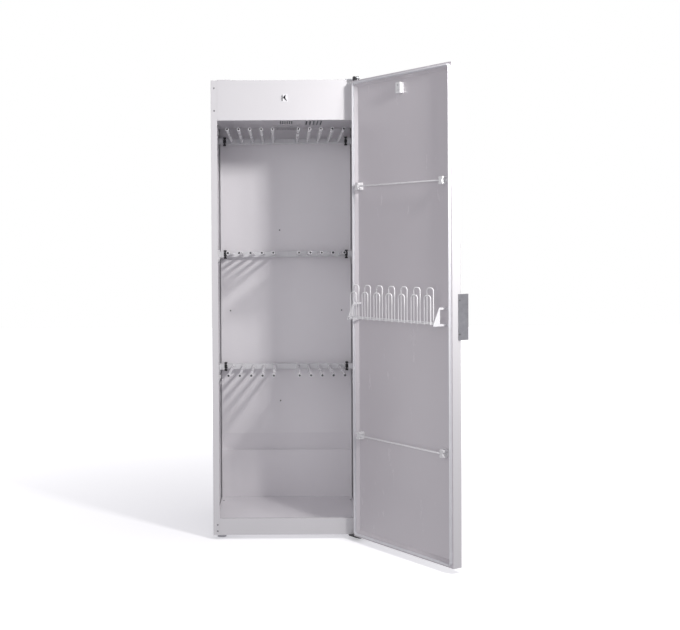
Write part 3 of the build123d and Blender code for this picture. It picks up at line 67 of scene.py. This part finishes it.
class S:
    """A shader value: arithmetic on it adds Math nodes."""

    def __init__(self, mat, socket):
        self.mat, self.socket = mat, socket

    def _math(self, op, a, b=None):
        values = {0: a} if b is None else {0: a, 1: b}
        return self.mat.node("ShaderNodeMath", {"operation": op}, values)

    def __add__(self, o):
        return self._math("ADD", self, o)

    __radd__ = __add__

    def __mul__(self, o):
        return self._math("MULTIPLY", self, o)

    __rmul__ = __mul__

    def __sub__(self, o):
        return self._math("SUBTRACT", self, o)

    def __rsub__(self, o):
        return self._math("SUBTRACT", o, self)

    def __pow__(self, o):
        return self._math("POWER", self, o)

    def __gt__(self, o):
        return self._math("GREATER_THAN", self, o)

    def clamp(self, low=0.0, high=1.0):
        return self.mat.node("ShaderNodeClamp", {}, {"Value": self, "Min": low, "Max": high}, "Result")

    def ramp(self, *stops):
        """A colour ramp through (place, grey or colour) stops."""
        return self.mat.node("ShaderNodeValToRGB", {"stops": stops}, {"Fac": self}, "Color")


class Mat:
    """One material, built round its Principled shader."""

    def __init__(self, name, color, rough, metal=0.0, **constants):
        self.m = bpy.data.materials.new(name)
        self.m.use_nodes = True
        self.tree = self.m.node_tree
        self.bsdf = self.tree.nodes["Principled BSDF"]
        self.set(color, rough, metal)
        for socket, value in constants.items():
            self.bsdf.inputs[socket.replace("_", " ")].default_value = value
        self.m.diffuse_color = (*color[:3], 1.0)

    def set(self, color=None, rough=None, metal=None):
        if color is not None:
            self.bsdf.inputs["Base Color"].default_value = (*color[:3], 1.0)
        if rough is not None:
            self.bsdf.inputs["Roughness"].default_value = rough
        if metal is not None:
            self.bsdf.inputs["Metallic"].default_value = metal

    def node(self, kind, settings, values, out=0):
        """Adds a node: its settings first, then the values or links of its sockets. Returns one output."""
        n = self.tree.nodes.new(kind)
        for key, value in settings.items():
            if key == "stops":
                while len(n.color_ramp.elements) < len(value):
                    n.color_ramp.elements.new(0.5)
                for element, (place, shade) in zip(n.color_ramp.elements, value):
                    element.position = place
                    element.color = (*shade, 1.0) if hasattr(shade, "__len__") else (shade, shade, shade, 1.0)
            else:
                setattr(n, key, value)
        for key, value in values.items():
            if isinstance(value, S):
                self.tree.links.new(value.socket, n.inputs[key])
            elif value is not None:
                n.inputs[key].default_value = value
        return S(self, n.outputs[out])

    def place(self, scale=(1.0, 1.0, 1.0), turn=(0.0, 0.0, 0.0)):
        """Object coordinates in metres, stretched or turned."""
        at = self.node("ShaderNodeTexCoord", {}, {}, "Object")
        return self.node("ShaderNodeMapping", {}, {"Vector": at, "Scale": scale, "Rotation": turn})

    def noise(self, scale, detail=2.0, rough=0.5, at=None, out="Fac"):
        at = self.place() if at is None else at
        sockets = {"Vector": at, "Scale": scale, "Detail": detail, "Roughness": rough}
        return self.node("ShaderNodeTexNoise", {}, sockets, out)

    def cells(self, scale, out="Distance"):
        return self.node("ShaderNodeTexVoronoi", {}, {"Vector": self.place(), "Scale": scale}, out)

    def mix(self, factor, a, b):
        """A colour between a and b."""
        wide = [v if isinstance(v, S) else (*v[:3], 1.0) for v in (a, b)]
        sockets = {0: factor, 6: wide[0], 7: wide[1]}
        return self.node("ShaderNodeMix", {"data_type": "RGBA"}, sockets, 2)

    def axis(self, name):
        """One Object coordinate in metres."""
        at = self.node("ShaderNodeTexCoord", {}, {}, "Object")
        return self.node("ShaderNodeSeparateXYZ", {}, {0: at}, "XYZ".index(name))

    def feed(self, socket, value):
        self.tree.links.new(value.socket, self.bsdf.inputs[socket])
        return self

    def bump(self, height, strength, depth):
        normal = self.node("ShaderNodeBump", {}, {"Height": height, "Strength": strength, "Distance": depth})
        return self.feed("Normal", normal)


# ---------------------------------------------------------------- finishes

def shades(color, low, high):
    """Two colours darker and lighter than the given one."""
    return [c * low for c in color], [min(1.0, c * high) for c in color]


def powder_coat(name, color, rough=0.36, peel=0.5, dust=0.02):
    """Powder coat: orange peel, slow changes of gloss, a trace of dust low down and scuffs."""
    m = Mat(name, color, rough, Specular_IOR_Level=0.5)
    cloudy = m.noise(3.0, 3.0, 0.55)
    fine = m.noise(950.0, 1.0, 0.4)
    peel_cells = m.cells(420.0)
    scuff = m.noise(26.0, 6.0, 0.72, m.place((1.0, 1.0, 0.25))).ramp((0.60, 0.0), (0.70, 1.0))
    low = (0.22 - m.axis("Z")).clamp(0.0, 0.22) * 4.5
    dark, light = shades(color, 0.965, 1.02)
    tone = m.mix(cloudy, dark, light)
    dirt = (scuff * dust + low * m.noise(9.0, 5.0, 0.7) * 0.10).clamp()
    m.feed("Base Color", m.mix(dirt, tone, [c * 0.72 for c in color]))
    m.feed("Roughness", (rough - 0.05 + cloudy * 0.08 + scuff * 0.05).clamp())
    m.bump(peel_cells * 0.6 + fine * 0.4, peel, 0.00012)
    return m.m


def moulding(name, color, rough=0.5, grain=1400.0):
    """Moulded plastic: fine spark-eroded grain and a little flow marking."""
    m = Mat(name, color, rough, Specular_IOR_Level=0.45)
    grains = m.noise(grain, 2.0, 0.6)
    flow = m.noise(38.0, 3.0, 0.5, m.place((1.0, 1.0, 0.35)))
    dark, light = shades(color, 0.93, 1.06)
    m.feed("Base Color", m.mix(flow, dark, light))
    m.feed("Roughness", (rough - 0.07 + grains * 0.14).clamp())
    m.bump(grains, 0.35, 0.00008)
    return m.m


def zinc_sheet(name, color, rough=0.42):
    """Hot-dip zinc: spangle in patches and white bloom."""
    m = Mat(name, color, rough, 0.85)
    spangle = m.cells(55.0, "Color")
    grey = m.node("ShaderNodeRGBToBW", {}, {0: spangle})
    bloom = m.noise(14.0, 5.0, 0.65)
    dark, light = shades(color, 0.80, 1.15)
    tone = m.mix(grey, dark, light)
    m.feed("Base Color", m.mix(bloom.ramp((0.5, 0.0), (0.8, 0.5)), tone, (0.74, 0.75, 0.76)))
    m.feed("Roughness", (rough - 0.1 + grey * 0.16 + bloom * 0.1).clamp())
    m.bump(m.noise(300.0, 2.0), 0.1, 0.0001)
    return m.m


def plated(name, color, rough=0.22, metal=1.0):
    """Bright plated hardware with fine drawn lines and slight tarnish."""
    m = Mat(name, color, rough, metal)
    lines = m.noise(700.0, 2.0, 0.5, m.place((1.0, 1.0, 0.1)))
    tarnish = m.noise(60.0, 4.0, 0.6)
    dark, light = shades(color, 0.84, 1.06)
    m.feed("Base Color", m.mix(tarnish, dark, light))
    m.feed("Roughness", (rough - 0.04 + lines * 0.1 + tarnish * 0.06).clamp())
    m.bump(lines, 0.12, 0.00005)
    return m.m


def brushed(name, color, rough=0.38):
    """Brushed steel plate: lines along the height, and a mottled tone from handling."""
    m = Mat(name, color, rough, 0.75)
    lines = m.noise(900.0, 3.0, 0.6, m.place((1.0, 1.0, 0.02)))
    mottle = m.noise(42.0, 5.0, 0.7)
    broad = m.noise(12.0, 2.0, 0.5)
    dark, light = shades(color, 0.78, 1.14)
    tone = m.mix((mottle * 0.6 + broad * 0.4).ramp((0.3, 0.0), (0.7, 1.0)), dark, light)
    m.feed("Base Color", tone)
    m.feed("Roughness", (rough - 0.08 + lines * 0.12 + mottle * 0.12).clamp())
    m.bump(lines, 0.25, 0.00006)
    return m.m


def soft_rubber(name, color):
    """Gasket rubber: matt, with a fine drawn skin and a little bloom."""
    m = Mat(name, color, 0.62, Specular_IOR_Level=0.35)
    skin = m.noise(1100.0, 2.0, 0.6)
    bloom = m.noise(30.0, 4.0, 0.6)
    dark, light = shades(color, 0.92, 1.05)
    m.feed("Base Color", m.mix(bloom, dark, light))
    m.feed("Roughness", (0.54 + skin * 0.14).clamp())
    m.bump(skin, 0.3, 0.00008)
    return m.m


def wool(name, color):
    """Mineral wool: crossed fibres."""
    m = Mat(name, color, 0.95)
    fibres = m.noise(260.0, 6.0, 0.75, m.place((1.0, 4.0, 0.5)))
    dark, light = shades(color, 0.6, 1.2)
    m.feed("Base Color", m.mix(fibres, dark, light))
    m.feed("Roughness", (0.85 + fibres * 0.12).clamp())
    m.bump(fibres, 0.8, 0.0012)
    return m.m


def lit_lens(name, color):
    """A small clear lens with a prism pattern."""
    m = Mat(name, color, 0.12, Coat_Weight=0.6)
    prism = m.cells(900.0)
    dark, light = shades(color, 0.7, 1.1)
    m.feed("Base Color", m.mix(prism.ramp((0.0, 0.0), (0.9, 1.0)), dark, light))
    m.feed("Roughness", (0.1 + prism * 0.1).clamp())
    m.bump(prism, 0.3, 0.0001)
    return m.m


FASCIA_FACE_Y = -0.2996


def catch_body(name, color):
    """White nylon with painted shade: near-black wherever it lies behind the face of the fascia, for the
    shadow in the receptacle's mouth.
    """
    m = Mat(name, color, 0.45, Specular_IOR_Level=0.45)
    grains = m.noise(1400.0, 2.0, 0.6)
    # Painted shade: the part of the body behind the fascia face is coloured near-black.
    recess_painted_shade = m.axis("Y") > FASCIA_FACE_Y
    dark, light = shades(color, 0.94, 1.05)
    m.feed("Base Color", m.mix(recess_painted_shade, m.mix(grains, dark, light), (0.03, 0.03, 0.035)))
    m.feed("Roughness", (0.38 + grains * 0.14).clamp())
    m.bump(grains, 0.35, 0.00008)
    return m.m


WHITE = (0.69, 0.68, 0.70)
FINISH = {
    "white_enamel": powder_coat("powder_white", WHITE),
    # Painted light: the liner is the same white paint as the outside, coloured lighter (0.90 against 0.69) to
    # brighten the cabinet's interior.
    "liner": powder_coat("powder_white_liner_painted_light", (0.90, 0.88, 0.91), 0.34),
    "door_liner": powder_coat("powder_pale_grey", (0.64, 0.61, 0.64), 0.26),
    "white_tube": powder_coat("gloss_white_tube", (0.80, 0.80, 0.82), 0.28, 0.2, 0.0),
    "white_wire": powder_coat("coated_wire", (0.84, 0.84, 0.85), 0.3, 0.15, 0.0),
    "galvanised": zinc_sheet("zinc_sheet", (0.55, 0.57, 0.59)),
    "zinc_screw": plated("dull_zinc", (0.24, 0.24, 0.25), 0.42),
    "white_nylon": moulding("white_nylon", (0.80, 0.80, 0.81), 0.42),
    "black_nylon": moulding("black_nylon", (0.022, 0.022, 0.025), 0.5),
    "rail_chrome": plated("satin_rail", (0.86, 0.86, 0.87), 0.26, 0.35),
    "brushed_pull": brushed("brushed_pull", (0.30, 0.30, 0.32)),
    "gasket_rubber": soft_rubber("gasket_rubber", (0.74, 0.74, 0.77)),
    "mineral_wool": wool("mineral_wool", (0.55, 0.48, 0.28)),
    "dark_steel": plated("blackened_steel", (0.07, 0.07, 0.075), 0.45, 0.6),
    "motor_grey": moulding("cast_grey", (0.12, 0.13, 0.14), 0.55, 500.0),
    "heater_steel": plated("heat_tinted_steel", (0.42, 0.34, 0.27), 0.35),
    "board_green": moulding("circuit_board", (0.02, 0.14, 0.06), 0.35),
    "bezel_grey": moulding("bezel_grey", (0.13, 0.14, 0.15), 0.45),
    "button_green": moulding("button_green", (0.03, 0.30, 0.10), 0.28),
    "lamp_amber": lit_lens("amber_lens", (0.85, 0.38, 0.04)),
    "foot_grey": moulding("foot_grey", (0.52, 0.52, 0.55), 0.5),
    "catch_white": catch_body("catch_white", (0.78, 0.78, 0.80)),
    "print_white": moulding("printed_white", (0.86, 0.86, 0.85), 0.55),
}
BY_NODE = {
    "back_panel": "liner",
    "floor_panel": "liner",
    "ceiling_panel": "liner",
    "door_inner_panel": "door_liner",
    "glove_rack_wires": "white_wire",
    "towel_rails": "rail_chrome",
    "catch_receptacle": "catch_white",
}


def paint(obj, finish):
    """Gives the whole piece one finish."""
    obj.data.materials.clear()
    obj.data.materials.append(FINISH[finish])


slot_of = {s["node"]: s["material_slot"] for s in frame["record"]["subparts"]}
for node_name, node in NODES.items():
    paint(node, BY_NODE.get(node_name, slot_of[node_name]))


# ---------------------------------------------------------------- pieces that repeat or follow a path

class Tree:
    """One Geometry Nodes tree. Its sizes are named inputs, and every other node comes from node()."""

    def __init__(self, name, **sizes):
        self.group = bpy.data.node_groups.new(name, "GeometryNodeTree")
        face = self.group.interface
        face.new_socket("Geometry", in_out="INPUT", socket_type="NodeSocketGeometry")
        face.new_socket("Geometry", in_out="OUTPUT", socket_type="NodeSocketGeometry")
        kinds = {float: "NodeSocketFloat", tuple: "NodeSocketVector", bpy.types.Object: "NodeSocketObject"}
        self.sizes, self.ids = sizes, {}
        for key, value in sizes.items():
            self.ids[key] = face.new_socket(key, in_out="INPUT", socket_type=kinds[type(value)]).identifier
        self.start = self.group.nodes.new("NodeGroupInput")
        self.end = self.group.nodes.new("NodeGroupOutput")

    def __getitem__(self, key):
        return self.start.outputs[key]

    def node(self, kind, settings, values, out=0):
        n = self.group.nodes.new(kind)
        for key, value in settings.items():
            setattr(n, key, value)
        for key, value in values.items():
            for one in value if isinstance(value, list) else [value]:
                if isinstance(one, bpy.types.NodeSocket):
                    self.group.links.new(one, n.inputs[key])
                else:
                    n.inputs[key].default_value = one
        return n.outputs[out]

    def at_places(self, piece):
        """One copy of the piece at every point, turned and sized as the point says."""
        words = {"data_type": "FLOAT_VECTOR"}
        turn = self.node("GeometryNodeInputNamedAttribute", words, {"Name": "turn"})
        size = self.node("GeometryNodeInputNamedAttribute", words, {"Name": "size"})
        facing = self.node("FunctionNodeEulerToRotation", {}, {0: turn})
        return self.node(
            "GeometryNodeInstanceOnPoints", {},
            {"Points": self["Geometry"], "Instance": piece, "Rotation": facing, "Scale": size},
        )

    def made(self, name, geometry, source, finish):
        """The tree's result on the source, as a plain mesh object."""
        real = self.node("GeometryNodeRealizeInstances", {}, {"Geometry": geometry})
        done = self.node("GeometryNodeSetMaterial", {}, {"Geometry": real, "Material": FINISH[finish]})
        self.group.links.new(done, self.end.inputs[0])
        modifier = source.modifiers.new("shape", "NODES")
        modifier.node_group = self.group
        for key, value in self.sizes.items():
            modifier[self.ids[key]] = value
        bpy.context.view_layer.update()
        depsgraph = bpy.context.evaluated_depsgraph_get()
        mesh = bpy.data.meshes.new_from_object(source.evaluated_get(depsgraph), depsgraph=depsgraph)
        source.modifiers.remove(modifier)
        bpy.data.objects.remove(source)
        mesh.name = name
        if not mesh.materials:
            mesh.materials.append(FINISH[finish])
        return shown(name, mesh)


def shown(name, mesh):
    obj = bpy.data.objects.new(name, mesh)
    bpy.context.scene.collection.objects.link(obj)
    return obj


def points(places):
    """A mesh of loose points with their turns and sizes. Each place is a matrix and a size."""
    mesh = bpy.data.meshes.new("places")
    mesh.from_pydata([m.translation for m, size in places], [], [])
    turns = mesh.attributes.new("turn", "FLOAT_VECTOR", "POINT")
    sizes = mesh.attributes.new("size", "FLOAT_VECTOR", "POINT")
    for i, (m, size) in enumerate(places):
        turns.data[i].vector = m.to_euler("XYZ")
        sizes.data[i].vector = (size, size, size)
    return shown("places", mesh)


def facing(place, way, spin=0.0):
    """A matrix at the place whose Z runs along the way."""
    turn = Vector(way).to_track_quat("Z", "Y").to_matrix().to_4x4()
    return Matrix.Translation(place) @ turn @ Matrix.Rotation(spin, 4, "Z")


def islands(node_name):
    """The separate solids of a CAD node: for each, its corners and its faces as (normal, area)."""
    work = bmesh.new()
    work.from_mesh(NODES[node_name].data)
    bmesh.ops.remove_doubles(work, verts=work.verts, dist=1e-6)
    left, found = set(work.verts), []
    while left:
        queue = [left.pop()]
        corners, faces = [], set()
        while queue:
            v = queue.pop()
            corners.append(v.co.copy())
            faces.update(v.link_faces)
            for edge in v.link_edges:
                other = edge.other_vert(v)
                if other in left:
                    left.remove(other)
                    queue.append(other)
        found.append((corners, [(f.normal.copy(), f.calc_area()) for f in faces]))
    work.free()
    return found


def screw_seat(corners, faces):
    """Where a screw's head sits, its outward direction and the head's radius."""
    totals = {}
    for normal, area in faces:
        key = tuple(round(c, 2) for c in normal)
        totals[key] = totals.get(key, 0.0) + area
    axis = Vector(max(totals, key=totals.get)).normalized()
    best = None
    for way in (axis, -axis):
        far = max(c.dot(way) for c in corners)
        end = [c for c in corners if c.dot(way) > far - 1e-5]
        middle = sum(end, Vector()) / len(end)
        radius = max((c - middle).length for c in end)
        if best is None or radius > best[2]:
            best = (middle, way, radius)
    return best


HEAD_RINGS = 14
HEAD_SIDES = 32
HEAD_HIGH = 0.50
RECESS_DEEP = 0.26
RECESS_ARM = 0.15
RECESS_REACH = 0.62


def pan_head():
    """A pan head of radius 1, standing on z 0: a domed top with a cross recess and a rounded rim."""
    work = bmesh.new()
    rings = []
    for i in range(1, HEAD_RINGS + 1):
        r = i / HEAD_RINGS
        ring = []
        for k in range(HEAD_SIDES):
            turn = 2 * pi * (k + 0.5) / HEAD_SIDES
            x, y = r * cos(turn), r * sin(turn)
            dome = HEAD_HIGH * (1.0 - 0.28 * r * r) * (1.0 - max(0.0, r - 0.8) ** 2 * 9.0)
            arm = min(abs(x), abs(y))
            cut = RECESS_DEEP if arm < RECESS_ARM and r < RECESS_REACH else 0.0
            ring.append(work.verts.new((x, y, dome - cut)))
        rings.append(ring)
    middle = work.verts.new((0.0, 0.0, HEAD_HIGH - RECESS_DEEP))
    skirt = [work.verts.new((v.co.x, v.co.y, 0.0)) for v in rings[-1]]
    for k in range(HEAD_SIDES):
        n = (k + 1) % HEAD_SIDES
        work.faces.new((middle, rings[0][k], rings[0][n]))
        for inner, outer in zip(rings, rings[1:]):
            work.faces.new((inner[k], outer[k], outer[n], inner[n]))
        work.faces.new((rings[-1][k], skirt[k], skirt[n], rings[-1][n]))
    work.faces.new(skirt[::-1])
    bmesh.ops.recalc_face_normals(work, faces=work.faces)
    mesh = bpy.data.meshes.new("pan_head")
    work.to_mesh(mesh)
    work.free()
    return shown("pan_head", mesh)


SPIN_STEP = 0.7


def cross_screws(name, body, *nodes):
    """Cross-recessed screws in place of plain CAD ones, each turned its own way."""
    places = []
    for node_name in nodes:
        for i, (corners, faces) in enumerate(islands(node_name)):
            middle, way, radius = screw_seat(corners, faces)
            seat = middle - way * radius * HEAD_HIGH
            places.append((facing(seat, way, SPIN_STEP * i), radius))
    tree = Tree(name, Head=head)
    model = tree.node(
        "GeometryNodeObjectInfo", {"transform_space": "ORIGINAL"}, {"Object": tree["Head"]}, "Geometry"
    )
    made = tree.made(name, tree.at_places(model), points(places), "zinc_screw")
    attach(made, body)
    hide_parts(*nodes)


head = pan_head()
cross_screws("carcass_screw_heads", "carcass", "panel_screws", "rack_bracket_screws", "hinge_screws")
cross_screws("door_screw_heads", "door", "handle_screws", "catch_screws")
bpy.data.objects.remove(head)


def ring_shape(tree, radius, wire, sides, wire_sides):
    """A ring of round wire about Z."""
    path = tree.node(
        "GeometryNodeCurvePrimitiveCircle", {"mode": "RADIUS"}, {"Resolution": sides, "Radius": radius}
    )
    section = tree.node(
        "GeometryNodeCurvePrimitiveCircle", {"mode": "RADIUS"}, {"Resolution": wire_sides, "Radius": wire}
    )
    swept = tree.node("GeometryNodeCurveToMesh", {}, {"Curve": path, "Profile Curve": section})
    return tree.node("GeometryNodeSetShadeSmooth", {}, {0: swept})


# Radius of each ring and of its wire, and how far each stands from its end of the tube.
BEAD, BEAD_OUT = (0.0069, 0.0011), 0.0006
RIM, RIM_OUT = (0.0056, 0.0010), 0.0002
BORE_R, BORE_DEEP, BORE_IN = 0.0045, 0.010, 0.0065
END_BAND = 0.002


def rod_lines(node_name):
    """The middle of each tube's open end and of its fixed end."""
    for corners, faces in islands(node_name):
        low, high = min(c.y for c in corners), max(c.y for c in corners)
        tip = [c for c in corners if c.y < low + END_BAND]
        root = [c for c in corners if c.y > high - END_BAND]
        yield sum(tip, Vector()) / len(tip), sum(root, Vector()) / len(root)


def rod_rings(rack, body):
    """A weld bead round each tube at the bar, a rolled rim round its open end, and a near-black lining a
    little way into that end: painted shade for the shadow in the tube's bare bore.
    """
    bar_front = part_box(f"{rack}_rack_bar")[0][1]
    beads, rims, bores = [], [], []
    for tip, root in rod_lines(f"{rack}_rack_rods"):
        way = (tip - root).normalized()
        seat = root + way * ((bar_front - root.y) / way.y)
        beads.append((facing(seat + way * BEAD_OUT, way), 1.0))
        rims.append((facing(tip + way * RIM_OUT, way), 1.0))
        bores.append((facing(tip - way * BORE_IN, way), 1.0))
    for name, places, radius, wire in (("weld_beads", beads, *BEAD), ("tube_rims", rims, *RIM)):
        tree = Tree(f"{rack}_{name}", Radius=radius, Wire=wire)
        ring = ring_shape(tree, tree["Radius"], tree["Wire"], 28, 8)
        made = tree.made(f"{rack}_{name}", tree.at_places(ring), points(places), "white_tube")
        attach(made, body)
    # Painted shade: a near-black (dark_steel) lining set 6.5 mm into each open end darkens the hole.
    tree = Tree(f"{rack}_tube_bores", Radius=BORE_R, Deep=BORE_DEEP)
    bore = tree.node(
        "GeometryNodeMeshCylinder", {}, {"Vertices": 24, "Radius": tree["Radius"], "Depth": tree["Deep"]}
    )
    made = tree.made(f"{rack}_tube_bores", tree.at_places(bore), points(bores), "dark_steel")
    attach(made, body)


for rack, body in (("top", "carcass"), ("middle", "middle_rack"), ("lower", "lower_rack")):
    rod_rings(rack, body)


# Door frame: X towards the hinge edge, Y towards the carcass, from the pin.
DOOR = Matrix.Translation((0.2865, -0.332, 0.0)) @ Matrix.Rotation(radians(123.0), 4, "Z")
DOOR_LEFT, DOOR_RIGHT = -0.583, 0.010
DOOR_LOW, DOOR_HIGH = 0.020, 1.825
INNER_FACE = 0.021
SEAL_INSET = 0.0105
BULB_RISE, FOOT_RISE = 0.0058, 0.0017
FOOT_WIDE, FOOT_HIGH = 0.0088, 0.0034


def gasket():
    """A seal with a flat foot and a round bulb, led round the edge of the inner face in one closed loop."""
    wide = DOOR_RIGHT - DOOR_LEFT - 2 * SEAL_INSET
    high = DOOR_HIGH - DOOR_LOW - 2 * SEAL_INSET
    middle = Vector(((DOOR_LEFT + DOOR_RIGHT) / 2, INNER_FACE, (DOOR_LOW + DOOR_HIGH) / 2))
    stand = DOOR @ Matrix.Translation(middle)
    tree = Tree("gasket_seal", Wide=wide, High=high, Corner=0.010, Bulb=0.0031)
    frame_line = tree.node(
        "GeometryNodeCurvePrimitiveQuadrilateral",
        {"mode": "RECTANGLE"},
        {"Width": tree["Wide"], "Height": tree["High"]},
    )
    loop = tree.node(
        "GeometryNodeFilletCurve",
        {"mode": "POLY"},
        {"Curve": frame_line, "Count": 6, "Radius": tree["Corner"]},
    )
    bulb = tree.node(
        "GeometryNodeCurvePrimitiveCircle", {"mode": "RADIUS"}, {"Resolution": 18, "Radius": tree["Bulb"]}
    )
    foot = tree.node(
        "GeometryNodeCurvePrimitiveQuadrilateral",
        {"mode": "RECTANGLE"},
        {"Width": FOOT_WIDE, "Height": FOOT_HIGH},
    )
    parts = []
    for section, rise, smooth in ((bulb, BULB_RISE, True), (foot, FOOT_RISE, False)):
        swept = tree.node("GeometryNodeCurveToMesh", {}, {"Curve": loop, "Profile Curve": section})
        lifted = tree.node("GeometryNodeTransform", {}, {"Geometry": swept, "Translation": (0.0, 0.0, rise)})
        parts.append(tree.node("GeometryNodeSetShadeSmooth", {}, {0: lifted, 2: smooth}))
    both = tree.node("GeometryNodeJoinGeometry", {}, {"Geometry": parts})
    # The loop lies in XY with its bulb up, and is stood up here so that the bulb faces the carcass.
    upright = stand @ Matrix.Rotation(radians(-90.0), 4, "X")
    placed = tree.node(
        "GeometryNodeTransform", {},
        {"Geometry": both, "Translation": upright.translation, "Rotation": upright.to_euler("XYZ")},
    )
    seal = tree.made("gasket_seal", placed, points([(Matrix.Identity(4), 1.0)]), "gasket_rubber")
    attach(seal, "door")
    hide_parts("door_gasket")


gasket()


DIAL_X, DIAL_FACE, DIAL_Z = -0.3465, -0.0251, 1.690
DIAL_START, DIAL_MARKS, DIAL_STEP = -150.0, 21, 15.0
MARK_OUT, NUMBER_OUT = 0.0035, 0.0095


def dial():
    """Hour marks and plain numbers round the timer knob, on the bezel."""
    low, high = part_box("timer_knob")
    radius = (high[2] - low[2]) / 2
    face = DOOR @ Matrix.Translation((DIAL_X, DIAL_FACE, DIAL_Z)) @ Matrix.Rotation(radians(90.0), 4, "X")
    marks = []
    for i in range(DIAL_MARKS):
        turn = radians(DIAL_START + DIAL_STEP * i)
        spot = Matrix.Rotation(-turn, 4, "Z") @ Matrix.Translation((0.0, radius + MARK_OUT, 0.0))
        marks.append((face @ spot, 1.0 if i % 4 == 0 else 0.6))
    tree = Tree("dial_marks", Mark=(0.0007, 0.0034, 0.0003))
    mark = tree.node("GeometryNodeMeshCube", {}, {"Size": tree["Mark"]})
    made = tree.made("dial_marks", tree.at_places(mark), points(marks), "print_white")
    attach(made, "door")
    for i in range(6):
        turn = radians(DIAL_START + 4 * DIAL_STEP * i)
        text = bpy.data.curves.new(f"dial_number_{i}", "FONT")
        text.body = str(i)
        text.size = 0.0055
        text.align_x, text.align_y = "CENTER", "CENTER"
        text.extrude = 0.00012
        number = shown(f"dial_text_{i}", text)
        bpy.context.view_layer.update()
        mesh = bpy.data.meshes.new_from_object(number.evaluated_get(bpy.context.evaluated_depsgraph_get()))
        bpy.data.objects.remove(number)
        out = radius + NUMBER_OUT
        mesh.transform(face @ Matrix.Translation((out * sin(turn), out * cos(turn), 0.0)))
        mesh.materials.clear()
        mesh.materials.append(FINISH["print_white"])
        made = shown(f"dial_number_{i}", mesh)
        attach(made, "door")


dial()


# ---------------------------------------------------------------- camera, light and floor

def aim(obj, target, roll=0.0):
    """Turns an object's -Z to the target, then rolls it about that line."""
    way = Vector(target) - obj.location
    obj.rotation_mode = "QUATERNION"
    obj.rotation_quaternion = way.to_track_quat("-Z", "Y") @ Matrix.Rotation(roll, 4, "Z").to_quaternion()


EYE = Vector((-0.016, -5.0515, 1.1743))
PITCH = radians(0.70)
camera = bpy.data.objects.new("camera", bpy.data.cameras.new("camera"))
bpy.context.scene.collection.objects.link(camera)
camera.location = EYE
camera.data.sensor_width = 36.0
camera.data.lens = 63.0
camera.data.shift_x = 0.085
camera.data.shift_y = -0.0803
aim(camera, EYE + Vector((0.0, cos(PITCH), -sin(PITCH))), radians(-0.33))
bpy.context.scene.camera = camera


def lamp(name, place, target, size, power, color=(1.0, 1.0, 1.0)):
    """A soft rectangular lamp."""
    light = bpy.data.lights.new(name, "AREA")
    light.shape = "RECTANGLE"
    light.size, light.size_y = size
    light.energy = power
    light.color = color
    obj = bpy.data.objects.new(name, light)
    bpy.context.scene.collection.objects.link(obj)
    obj.location = place
    aim(obj, target)
    return obj


key = lamp("key", (1.04, -1.66, 2.02), (0.0, 0.0, 0.95), (0.22, 0.22), 27.0, (1.0, 0.985, 0.97))
key.visible_camera = False
fill = lamp("fill", (-1.7, -4.4, 1.9), (0.1, 0.0, 0.9), (1.6, 1.6), 24.0)
fill.visible_camera = False

# Soft room light, and a plain white backdrop where nothing stands.
world = bpy.data.worlds.new("world")
bpy.context.scene.world = world
world.use_nodes = True
sky = world.node_tree
room = sky.nodes["Background"]
room.inputs["Color"].default_value = (0.97, 0.95, 1.0, 1.0)
room.inputs["Strength"].default_value = 0.46
plain = sky.nodes.new("ShaderNodeBackground")
plain.inputs["Color"].default_value = (1.0, 1.0, 1.0, 1.0)
seen = sky.nodes.new("ShaderNodeLightPath")
either = sky.nodes.new("ShaderNodeMixShader")
sky.links.new(seen.outputs["Is Camera Ray"], either.inputs[0])
sky.links.new(room.outputs[0], either.inputs[1])
sky.links.new(plain.outputs[0], either.inputs[2])
sky.links.new(either.outputs[0], sky.nodes["World Output"].inputs["Surface"])
bpy.context.scene.view_settings.view_transform = "Standard"

floor_mesh = bpy.data.meshes.new("floor")
grid = bmesh.new()
bmesh.ops.create_grid(grid, x_segments=1, y_segments=1, size=12.0)
grid.to_mesh(floor_mesh)
grid.free()
floor = bpy.data.objects.new("floor", floor_mesh)
bpy.context.scene.collection.objects.link(floor)
pale = Mat("floor_paint", (0.93, 0.93, 0.94), 0.85)
tone = pale.noise(1.5, 2.0)
pale.feed("Base Color", pale.mix(tone, (0.92, 0.92, 0.93), (0.95, 0.95, 0.96)))
# Painted light: the floor glows, dim grey near the cabinet and rising to nearly white about 3.7 m out.
away = (pale.axis("X") ** 2.0 + pale.axis("Y") ** 2.0) ** 0.5
glow = (away * 0.30 - 0.10).clamp()
pale.feed("Emission Color", pale.mix(glow, (0.34, 0.34, 0.35), (0.9, 0.9, 0.9)))
pale.bsdf.inputs["Emission Strength"].default_value = 1.0
floor.data.materials.append(pale.m)
floor.visible_diffuse = False
